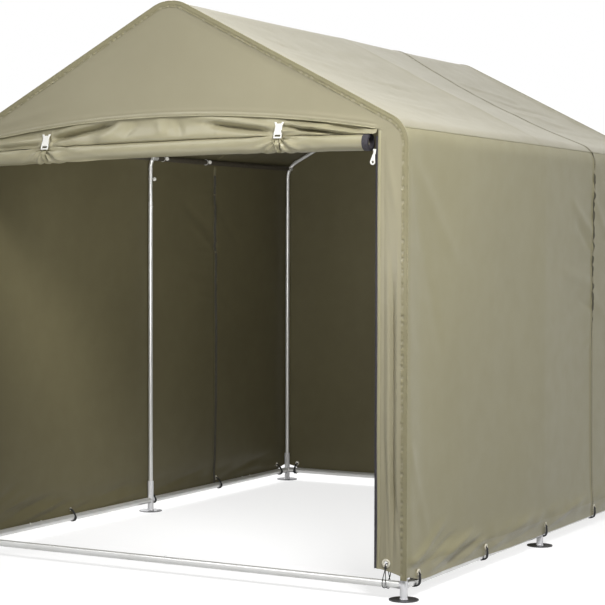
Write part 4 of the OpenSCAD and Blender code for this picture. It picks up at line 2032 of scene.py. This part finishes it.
        def surface(x: float, row: float) -> Vector:
            """A place on the door, from its top edge to its innermost turn.

            Args:
                x: Place along the door.
                row: Below 0 on the loose part, then the turn.

            Returns:
                The place.
            """
            near = self.fabric_half / self.top_half
            if row < 0:
                ease = 1 - (1 - near) * swell((row + 0.36) / 0.36)
                return self.drape(x * ease, row + 1)
            return self.on_roll(x * near, row)

        def cut(x: float, row: float) -> Tuple[float, float]:
            """The same place on the flat door."""
            return (x, (row + 1) * 0.13 if row < 0 else 0.13 + row * 0.0235)

        piece = self.bench.weave(
            "door_cloth", columns, drape_rows + roll_rows, surface, self.wall,
            Vector((0, self.axis_y, self.roll_h)), (DOOR_CLOTH, DOOR_CLOTH), cut=cut, angle=70,
        )
        self.bench.settle(piece, "door_cloth", Slot.COVER, ("door_drape", "door_roll"))
        2 * self.top_half

    def roll_end(self, side: Side) -> None:
        """The rolled zip tape at one end of the roll.

        Args:
            side: Which side.
        """
        count = self.turns * 20
        rows = [2 * math.pi * (index / 20) for index in range(count + 1)]
        columns = stations(-0.006, self.end_l, 0.006, [(self.end_l, 0.004, 0.002)])

        def surface(out: float, turn: float) -> Vector:
            """A place on the wound tape.

            Args:
                out: Distance out from the cloth's end.
                turn: Turn round the roll.

            Returns:
                The place.
            """
            x = side.value * (self.fabric_half + out)
            lip = 0.0012 * swell((out - self.end_l + 0.006) / 0.004)
            step = 0.0008 * ripple(turn * 0.8, 3.0, 121.0)
            place = self.on_roll(x, turn, 0.0007 - lip * 0.3)
            place.x += side.value * step * swell(out / self.end_l)
            return place

        name = f"door_zip_roll_{side.word}"
        piece = self.bench.weave(
            name, columns, rows, surface, 0.0008,
            Vector((side.value * self.fabric_half, self.axis_y, self.axis_z(side.value * 0.76))),
            (ZIP_TAPE, ZIP_TAPE), cut=lambda out, turn: (out, turn * 0.0235), angle=60,
        )
        stands_for = ("door_roll_ends",) if side is Side.RIGHT else ()
        self.bench.settle(piece, name, Slot.ZIP, stands_for)
        self.end_l + 0.006

    def zip_side(self, side: Side) -> None:
        """The jamb's half of the zip: its tape and the row of teeth on its edge.

        Args:
            side: Which side.
        """
        front = self.front
        low, high = front.jamb_hem, front.gable_hem - 0.024
        rows = stations(0.0, self.tape_w, 0.0025)
        columns = stations(low, high, 0.02)
        level = self.tape_out - front.cover.half_l

        def surface(z: float, across: float) -> Vector:
            """A place on the tape."""
            x = side.value * (front.door_half + 0.0015 - across)
            return Vector((x, level, z))

        name = f"zip_tape_{side.word}"
        tape = self.bench.weave(
            name, columns, rows, surface, self.tape_wall, Vector((0, 0, 0.8)),
            (ZIP_TAPE, ZIP_TAPE),
        )
        self.bench.settle(tape, name, Slot.ZIP, ("zip_tapes",) if side is Side.RIGHT else ())
        self.bench.clear()
        bpy.ops.mesh.primitive_cube_add(size=1.0)
        tooth = bpy.context.object
        tooth.scale = self.tooth
        self.bench.fix(tooth)
        self.bench.modify(tooth, "BEVEL", width=0.0003, segments=1)
        self.bench.coat(tooth, DARK_ZIP)
        x = side.value * (front.door_half - 0.0078)
        count = int((high - low) / self.tooth_pitch)
        heights = [low + (high - low) * index / count for index in range(count + 1)]
        places = [Matrix.Translation((x, level, height)) for height in heights]
        teeth = self.bench.repeat(f"zip_teeth_{side.word}", tooth, places)
        self.bench.settle(teeth, f"zip_teeth_{side.word}", Slot.ZIP)

    def sliders(self) -> None:
        """The two zip sliders, each with its pull."""
        bodies, pulls = [], []
        for side in Side:
            bodies.append(self.slider(side))
            pulls.append(self.pull(side))
        self.bench.settle(self.bench.join(bodies), "zip_sliders", Slot.PLASTIC, ("zip_pulls",))
        self.bench.settle(self.bench.join(pulls), "zip_pull_tabs", Slot.PLASTIC)

    def slider(self, side: Side) -> Piece:
        """A slider: a waisted body with a raised bridge for its pull.

        Args:
            side: Which side.

        Returns:
            The slider.
        """
        x = side.value * (self.front.door_half - 0.0115)
        face = -self.front.cover.half_l
        self.bench.clear()
        bpy.ops.mesh.primitive_cube_add(size=1.0, location=(x, face - 0.0022, self.slider_z))
        body = bpy.context.object
        body.scale = self.slider_size
        self.bench.fix(body)
        self.bench.pick(body, "FACE", lambda middle: middle.z < 1.4500)
        bpy.ops.transform.resize(
            value=(0.62, 1, 1), center_override=(x, face - 0.0022, 1.4495)
        )
        bpy.ops.object.mode_set(mode="OBJECT")
        self.bench.modify(body, "BEVEL", width=0.0011, segments=3)
        arch = [
            Vector((x, face - 0.0035 - 0.0034 * math.sin(math.pi * step / 12),
                    1.4645 - 0.011 * step / 12))
            for step in range(13)
        ]
        bridge = self.bench.tube("bridge", arch, 0.0011, WHITE_PLASTIC)
        self.bench.coat(body, WHITE_PLASTIC)
        whole = self.bench.join([body, bridge])
        self.bench.smooth(whole, 40)
        return whole

    def pull(self, side: Side) -> Piece:
        """A pull: a drop-shaped plate with a round hole, hung from the bridge.

        Args:
            side: Which side.

        Returns:
            The pull.
        """
        x = side.value * (self.front.door_half - 0.0165)
        y = -self.front.cover.half_l - 0.0062
        eye = Vector((x, y, 1.4245))
        plate = self.bench.rod(self.pull_r, 0.0026, eye, ALONG_Y, 40)
        self.bench.fix(plate)
        self.bench.pick(plate, "VERT", lambda place: place.z > eye.z + 0.0035)
        bpy.ops.transform.resize(value=(0.5, 1, 0.7), center_override=eye[:])
        bpy.ops.transform.translate(value=(side.value * 0.0036, 0.0008, 0.0215))
        bpy.ops.object.mode_set(mode="OBJECT")
        self.bench.carve(plate, self.bench.rod(self.pull_hole, 0.02, eye, ALONG_Y, 32))
        self.bench.modify(plate, "BEVEL", width=0.0007, segments=3, angle_limit=math.radians(40))
        self.bench.coat(plate, WHITE_PLASTIC)
        hole = eye + Vector((side.value * 0.0036, -0.0002, 0.0300))
        ring = circle(hole, Vector((0, 0.0022, 0)), Vector((0, 0, 0.0038)), 16)
        link = self.bench.tube("link", ring, 0.0010, WHITE_PLASTIC, closed=True)
        whole = self.bench.join([plate, link])
        self.bench.smooth(whole, 40)
        return whole

    def strap(self, side: Side, x: float) -> None:
        """The loop of webbing that holds the roll to a clip.

        Args:
            side: Which side.
            x: Where its clip is.
        """
        front = self.front
        turns = [self.clip_turn + 0.10 - 0.14 * step for step in range(30)]
        turns = [turn for turn in turns if turn > 0.05]
        rows = stations(-1.0, 1.0, 0.08)
        top = front.arch_z(x) + 0.012
        columns = [float(step) for step in range(len(turns) + 8)]

        def surface(step: float, across: float) -> Vector:
            """A place on the webbing.

            Args:
                step: Step along the webbing.
                across: Place across it, from -1 to 1.

            Returns:
                The place.
            """
            index = int(step)
            if index < len(turns):
                turn = turns[index]
                narrow = 0.0100 - 0.0034 * math.sin(min(math.pi, turn * 0.85))
                pleat = 0.0009 * math.cos(across * 3.2 * math.pi)
                base = self.on_roll(x, turn, 0.0016 + pleat)
                return base + Vector((across * narrow, 0, 0))
            share = (index - len(turns) + 1) / 8
            back = self.on_roll(x, 0.0, 0.0026)
            z = back.z + (top - back.z) * share
            return Vector((x + across * 0.0100, back.y + (-0.0172 - 0.0012) * swell(share), z))

        name = f"roll_strap_{side.word}"
        piece = self.bench.weave(
            name, columns, rows, surface, 0.0009,
            Vector((x, self.axis_y, self.axis_z(x))), (TRIM_CLOTH, TRIM_CLOTH), angle=70,
            cut=lambda step, across: (step * 0.004, across * 0.01),
        )
        self.bench.settle(piece, name, Slot.COVER)

    def roll_clips(self) -> None:
        """The two white clips, modelled once and copied."""
        first = self.clip_plate()
        turn = Matrix.Rotation(math.pi / 2 - self.clip_lean, 4, "X")
        placed = []
        for x in self.clips:
            foot_z = self.roll_h + x * self.fall + self.roll_r - 0.008
            foot_y = -self.front.cover.half_l - 0.004 - 0.057 * math.sin(self.clip_lean)
            foot = Matrix.Translation((x, foot_y, foot_z + 0.004))
            placed.append(self.bench.twin(first, foot @ turn))
        bpy.data.objects.remove(first)
        self.bench.settle(placed[0], "roll_clip_left", Slot.PLASTIC, ("door_clips",))
        self.bench.settle(placed[1], "roll_clip_right", Slot.PLASTIC)

    def clip_plate(self) -> Piece:
        """A clip lying flat with its foot at the origin: waisted, horned and slotted.

        Returns:
            The clip.
        """
        bench = self.bench
        bench.clear()
        bpy.ops.mesh.primitive_cube_add(size=1.0, location=(0, 0.026, 0.002))
        plate = bpy.context.object
        plate.scale = self.clip_size
        bench.fix(plate)
        for height in (0.018, 0.036, 0.044):
            bench.pick(plate, "VERT", lambda place: True)
            bpy.ops.mesh.bisect(plane_co=(0, height, 0), plane_no=(0, 1, 0))
        for across in (-0.009, 0.009):
            bench.pick(plate, "VERT", lambda place: True)
            bpy.ops.mesh.bisect(plane_co=(across, 0, 0), plane_no=(1, 0, 0))
        for low, high, width in ((0.017, 0.019, 0.96), (0.035, 0.045, 0.80), (0.051, 0.053, 1.0)):
            bench.pick(plate, "VERT", lambda p: low < p.y < high and abs(p.x) > 0.010)
            bpy.ops.transform.resize(value=(width, 1, 1), center_override=(0, 0.03, 0))
        bench.pick(plate, "FACE", lambda middle: middle.y > 0.0519 and abs(middle.x) > 0.008)
        bpy.ops.mesh.extrude_region_move(TRANSFORM_OT_translate={"value": (0, 0.0055, 0)})
        bench.pick(plate, "VERT", lambda place: place.y > 0.056)
        bpy.ops.transform.resize(value=(1.16, 1, 1), center_override=(0, 0.057, 0))
        bpy.ops.object.mode_set(mode="OBJECT")
        slot = bench.rod(0.0035, 0.02, Vector((0, 0.0095, 0.002)), ALONG_Z, 24)
        bench.fix(slot)
        for sign in (-1, 1):
            bench.pick(slot, "VERT", lambda place: place.x * sign > 0.0002)
            bpy.ops.transform.translate(value=(sign * 0.0085, 0, 0))
            bpy.ops.object.mode_set(mode="OBJECT")
        bench.carve(plate, slot)
        bench.modify(plate, "BEVEL", width=0.0009, segments=3, angle_limit=math.radians(40))
        rib = bench.rod(0.0016, 0.020, Vector((0, 0.030, 0.0040)), ALONG_X, 16)
        rib.scale = (0.7, 1.0, 1.0)
        bench.fix(rib)
        whole = bench.join([plate, rib])
        bench.coat(whole, WHITE_PLASTIC)
        bench.smooth(whole, 40)
        return whole


# ---- Ties ----


@dataclass
class Ties:
    """Eyelets, the cords round the base rails, and the ball bungees."""

    bench: Bench
    cover: CoverShape
    rail_z: float = 0.048
    rail_r: float = 0.0125
    cord_r: float = 0.0020
    knot_r: float = 0.0042
    ring_r: float = 0.0083
    ring_bead: float = 0.0029
    ring_faces: Tuple[float, float] = (0.0008, -0.0022)
    barrel_r: float = 0.0062
    bore_r: float = 0.0054
    jamb_ring: float = 1.32
    ball_r: float = 0.0088
    ball_bore: float = 0.0022
    elastic_r: float = 0.0010

    def build(self) -> None:
        """Makes all the ties."""
        self.eyelets()
        self.cords()
        self.ball_bungees()

    def spots(self) -> List[Tuple[Matrix, float, bool]]:
        """Each eyelet's stand, with X out through the cloth, its height, and if on a jamb.

        Returns:
            The stands.
        """
        cover = self.cover
        found = []
        for side in Side:
            turn = Matrix.Identity(4) if side is Side.RIGHT else Matrix.Rotation(math.pi, 4, "Z")
            for y in cover.eyelets:
                stand = Matrix.Translation((side.value * cover.half_w, y, 0)) @ turn
                found.append((stand, cover.eyelet_z, False))
        for x in cover.rear_eyelets:
            turn = Matrix.Rotation(math.pi / 2, 4, "Z")
            place = Matrix.Translation((x, cover.half_l, 0))
            found.append((place @ turn, cover.eyelet_z, False))
        for x in (-cover.jamb_eyelet_x, cover.jamb_eyelet_x):
            turn = Matrix.Rotation(-math.pi / 2, 4, "Z")
            place = Matrix.Translation((x, -cover.half_l, 0))
            found.append((place @ turn, cover.jamb_eyelet_z, True))
        return found

    def eyelets(self) -> None:
        """Rounded rings on both faces of the cloth, with a barrel between."""
        rings = []
        for out in self.ring_faces:
            self.bench.clear()
            bpy.ops.mesh.primitive_torus_add(
                major_radius=self.ring_r, minor_radius=self.ring_bead, major_segments=40,
                minor_segments=12, location=(out, 0, 0), rotation=(0, math.pi / 2, 0),
            )
            ring = bpy.context.object
            ring.scale = (1, 1, 0.45)
            self.bench.fix(ring)
            rings.append(ring)
        barrel = self.bench.rod(self.barrel_r, 0.0040, Vector((-0.0007, 0, 0)), ALONG_X, 32)
        self.bench.fix(barrel)
        self.bench.carve(barrel, self.bench.rod(self.bore_r, 0.02, Vector(), ALONG_X, 32))
        whole = self.bench.join([rings[0], rings[1], barrel])
        self.bench.smooth(whole, 180)
        self.bench.coat(whole, CREAM_PLASTIC)
        places = []
        for stand, height, on_jamb in self.spots():
            size = self.jamb_ring if on_jamb else 1.0
            rise = Matrix.Translation((0.0004, 0, height))
            places.append(stand @ rise @ Matrix.Diagonal((1, size, size, 1)))
        piece = self.bench.repeat("hem_eyelet_rings", whole, places)
        self.bench.settle(piece, "hem_eyelet_rings", Slot.PLASTIC, ("hem_eyelets",))

    def loop(self, height: float, lean: float, twist: float) -> List[Vector]:
        """One strand's path: out of the eyelet, down, round the rail and back up.

        Args:
            height: Height of the eyelet.
            lean: How far the strand wanders along the rail on its way down.
            twist: How far it wanders on its way back up.

        Returns:
            The closed path, with X out through the cloth.
        """
        rail = Vector((-self.cover.inset, 0, self.rail_z))
        near = self.rail_r + self.cord_r + 0.0002
        path = [Vector((-0.004, 0, height - 0.0005)), Vector((0.0012, 0, height - 0.0008)),
                Vector((0.0040, 0.05 * lean, height - 0.0040))]
        out = 0.0042
        drop = height - 0.006 - self.rail_z
        for step in range(1, 8):
            share = step / 8
            bow = 0.0014 * math.sin(math.pi * share)
            path.append(Vector((out + bow, lean * swell(share), height - 0.006 - drop * share)))
        start = out + self.cover.inset
        for step in range(0, 13):
            turn = math.pi * step / 12
            size = start + (near - start) * swell(step / 5)
            path.append(rail + Vector((size * math.cos(turn), lean, -size * math.sin(turn))))
        back = rail + Vector((-near, lean, 0))
        goal = Vector((-0.010, 0, height - 0.002))
        for step in range(1, 7):
            share = step / 7
            place = back.lerp(goal, share)
            place.y = lean + (twist - lean) * math.sin(math.pi * share) - lean * share
            place.x -= 0.004 * math.sin(math.pi * share)
            path.append(place)
        path.append(goal)
        return path

    def cords(self) -> None:
        """Black elastic loops with a knot under each eyelet."""
        pieces = []
        for number, (stand, height, on_jamb) in enumerate(self.spots()):
            uneven = 0.004 * ripple(number * 1.7, 0.0, 131.0)
            leans = (-0.012, 0.0015) if on_jamb else (-0.0034 + uneven, 0.0034 + uneven)
            for lean in leans:
                path = [stand @ place for place in self.loop(height, lean, uneven)]
                thick = self.cord_r * (0.75 if on_jamb else 1.5)
                pieces.append(self.bench.tube("cord", path, thick, BLACK_CORD, closed=True))
            pieces.append(self.knot(stand, height - (0.012 if on_jamb else 0.008)))
        whole = self.bench.join(pieces)
        self.bench.settle(whole, "hem_tie_cords", Slot.CORD, ("hem_cords",))

    def knot(self, stand: Matrix, height: float) -> Piece:
        """The knot of one tie: a ball with wound grooves.

        Args:
            stand: The eyelet's stand.
            height: The knot's height.

        Returns:
            The knot.
        """
        self.bench.clear()
        bpy.ops.mesh.primitive_uv_sphere_add(segments=20, ring_count=12, radius=self.knot_r)
        knot = bpy.context.object
        for vertex in knot.data.vertices:
            co = vertex.co
            groove = 0.0006 * math.sin(2.5 * math.atan2(co.y, co.x) + co.z * 900)
            vertex.co = co * (1 + groove / self.knot_r)
        knot.matrix_world = stand @ Matrix.Translation((0.0046, 0, height))
        knot.scale = (0.9, 1.1, 1.25)
        self.bench.fix(knot)
        self.bench.coat(knot, BLACK_CORD)
        self.bench.smooth(knot, 60)
        return knot

    def ball_bungees(self) -> None:
        """White balls on thin elastic rings round the eave poles and middle posts."""
        low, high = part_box("eave_sleeves")
        pole_x = high.x - 0.011
        pole_z = high.z - 0.011
        stands = []
        for side in Side:
            sign = side.value
            for y in (0.076, 0.426):
                stands.append((Vector((sign * pole_x, y, pole_z)), ALONG_Z, sign, 0.0244, 0.0123))
            middle = Vector((sign * (self.cover.half_w - self.cover.inset), 0, pole_z - 0.09))
            stands.append((middle, ALONG_Y, sign, 0.0217, 0.0096))
        balls, rings = [], []
        for middle, across, sign, reach, ring_r in stands:
            self.bench.clear()
            bpy.ops.mesh.primitive_uv_sphere_add(
                segments=32, ring_count=20, radius=self.ball_r,
                location=middle - Vector((sign * (reach - 0.0022), 0, 0)),
            )
            ball = bpy.context.object
            self.bench.fix(ball)
            inner = middle - Vector((sign * (reach - 0.011), 0, 0))
            self.bench.carve(ball, self.bench.rod(self.ball_bore, 0.008, inner, ALONG_X, 16))
            self.bench.coat(ball, WHITE_PLASTIC)
            self.bench.smooth(ball, 50)
            balls.append(ball)
            ring = circle(middle, ALONG_X * ring_r, across * ring_r, 36)
            rings.append(self.bench.tube("ring", ring, self.elastic_r, WHITE_PLASTIC, closed=True))
        self.bench.settle(self.bench.join(balls), "bungee_balls", Slot.PLASTIC, ("ball_bungees",))
        self.bench.settle(self.bench.join(rings), "bungee_rings", Slot.CORD)


# ---- The frame ----


@dataclass
class FrameDress:
    """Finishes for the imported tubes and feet, and the small fittings on them."""

    bench: Bench
    nodes: Dict[str, Piece]
    cover: CoverShape
    sleeve_r: float = 0.0110
    sleeve_wall: float = 0.0007
    sleeve_girth: float = 0.073
    sleeve_gap: float = 0.030
    button_r: float = 0.0032
    button_drop: float = 0.022
    bead_r: float = 0.0127
    plate_top: float = 0.0034
    screw_r: float = 0.0042
    rail_joints: Tuple[float, float] = (0.36, 0.43)

    def build(self) -> None:
        """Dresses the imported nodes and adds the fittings."""
        self.paint()
        self.sleeves()
        self.spring_buttons()
        self.weld_beads()
        self.rail_screws()

    def paint(self) -> None:
        """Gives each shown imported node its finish."""
        for name, node in self.nodes.items():
            finish = FOOT_STEEL if name.startswith("foot_") else WHITE_STEEL
            node.data.materials.clear()
            self.bench.coat(node, finish)

    def sleeves(self) -> None:
        """The brown cloth sleeves round the eave poles."""
        low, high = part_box("eave_sleeves")
        for side in Side:
            self.sleeve(side, "front", low.y, -self.sleeve_gap)
            self.sleeve(side, "rear", self.sleeve_gap, high.y)

    def sleeve(self, side: Side, place: str, start: float, end: float) -> None:
        """One sleeve, whose last edge laps over its first.

        Args:
            side: Which side.
            place: Front or rear, for its name.
            start: Where it starts along the pole.
            end: Where it ends.
        """
        _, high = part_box("eave_sleeves")
        radius = self.sleeve_r
        x, z = side.value * (high.x - radius), high.z - radius
        seed = 141.0 if place == "front" else 142.0
        columns = stations(start, end, 0.016)
        rows = [2 * math.pi * step / 28 for step in range(29)] + [2 * math.pi + 0.35]

        def surface(y: float, turn: float) -> Vector:
            """A place on the sleeve.

            Args:
                y: Place along the shelter.
                turn: Turn round the pole.

            Returns:
                The place.
            """
            lap = 0.0010 if turn > 2 * math.pi - 0.1 else 0.0
            size = radius + 0.0003 * ripple(y * 30.0, math.cos(turn) * 2, seed) + lap
            out = Vector((side.value * math.cos(turn - 2.2), 0, math.sin(turn - 2.2)))
            return Vector((x, y, z)) + out * size

        name = f"eave_sleeve_{side.word}_{place}"
        piece = self.bench.weave(
            name, columns, rows, surface, self.sleeve_wall, Vector((x, (start + end) / 2, z)),
            (SLEEVE_CLOTH, SLEEVE_CLOTH), cut=lambda y, turn: (y, turn * radius),
        )
        stands_for = ("eave_sleeves",) if name == "eave_sleeve_right_front" else ()
        self.bench.settle(piece, name, Slot.SLEEVE, stands_for)

    @staticmethod
    def posts() -> List[Tuple[Side, Vector, Vector]]:
        """Each post's side, and its lowest and highest corners."""
        pairs = [(side, row) for side in Side for row in FRAMES]
        return [(side, *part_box(f"post_{row}_{side.word}")) for side, row in pairs]

    def spring_buttons(self) -> None:
        """The spring buttons that lock the posts and rafters to their connectors."""
        self.bench.clear()
        bpy.ops.mesh.primitive_uv_sphere_add(segments=16, ring_count=8, radius=self.button_r)
        button = bpy.context.object
        self.bench.pick(button, "VERT", lambda place: place.z < -0.0005)
        bpy.ops.transform.translate(value=(0, 0, 0.0012))
        bpy.ops.object.mode_set(mode="OBJECT")
        self.bench.coat(button, WHITE_STEEL)
        self.bench.smooth(button, 180)
        places = []
        for side, low, high in self.posts():
            edge = low.x if side is Side.RIGHT else high.x
            place = (edge, (low.y + high.y) / 2, high.z - self.button_drop)
            turn = Matrix.Rotation(-side.value * math.pi / 2, 4, "Y")
            places.append(Matrix.Translation(place) @ turn)
        piece = self.bench.repeat("spring_buttons", button, places)
        self.bench.settle(piece, "spring_buttons", Slot.STEEL)

    def weld_beads(self) -> None:
        """The weld between each foot's sleeve and its plate."""
        beads = []
        for _, low, high in self.posts():
            middle = (low + high) / 2
            ring = []
            for step in range(72):
                turn = 2 * math.pi * step / 72
                size = self.bead_r + 0.0003 * math.sin(step * 1.9)
                spoke = Vector((math.cos(turn), math.sin(turn), 0)) * size
                ring.append(Vector((middle.x, middle.y, self.plate_top)) + spoke)
            beads.append(self.bench.tube("bead", ring, 0.0013, FOOT_STEEL, closed=True))
        self.bench.settle(self.bench.join(beads), "foot_weld_beads", Slot.FOOT)

    def rail_screws(self) -> None:
        """Pan-headed screws at the joints of the base rails."""
        self.bench.clear()
        bpy.ops.mesh.primitive_cylinder_add(vertices=20, radius=self.screw_r, depth=0.0022)
        head = bpy.context.object
        self.bench.pick(head, "FACE", lambda middle: middle.z > 0.001)
        bpy.ops.mesh.inset(thickness=0.0012)
        bpy.ops.transform.translate(value=(0, 0, 0.0007))
        bpy.ops.mesh.inset(thickness=0.0014)
        bpy.ops.transform.translate(value=(0, 0, -0.0009))
        bpy.ops.object.mode_set(mode="OBJECT")
        self.bench.modify(head, "BEVEL", width=0.0003, segments=2)
        self.bench.coat(head, WHITE_STEEL)
        self.bench.smooth(head, 45)
        places = []
        near, far = self.rail_joints
        rail_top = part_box("base_rail_front")[1].z
        frame_x = self.cover.half_w - self.cover.inset
        frame_y = self.cover.half_l - self.cover.inset
        for side in Side:
            for y in (near - frame_y, far - frame_y, frame_y - far, frame_y - near):
                places.append(Matrix.Translation((side.value * frame_x, y, rail_top + 0.0004)))
        for y in (-frame_y, frame_y):
            for x in (-0.03, 0.03):
                places.append(Matrix.Translation((x, y, rail_top + 0.0004)))
        piece = self.bench.repeat("rail_screws", head, places)
        self.bench.settle(piece, "rail_screws", Slot.STEEL)


def main(frame: dict) -> None:
    """Builds the studio and every sub-assembly in order.
    """
    bench = Bench(Finishes())
    Studio().build()
    wall_low, wall_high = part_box("right_wall")
    shape = CoverShape(half_w=wall_high.x, half_l=wall_high.y, hem=wall_low.z)
    cover = Cover(bench, shape)
    cover.build()
    RolledDoor(bench, cover.front).build()
    Ties(bench, shape).build()
    FrameDress(bench, frame["nodes"], shape).build()
    bpy.context.scene.view_settings.view_transform = "Standard"


if __name__ == "__main__":
    logging.basicConfig(level=logging.INFO, format="%(message)s")
    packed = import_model()
    main(packed)
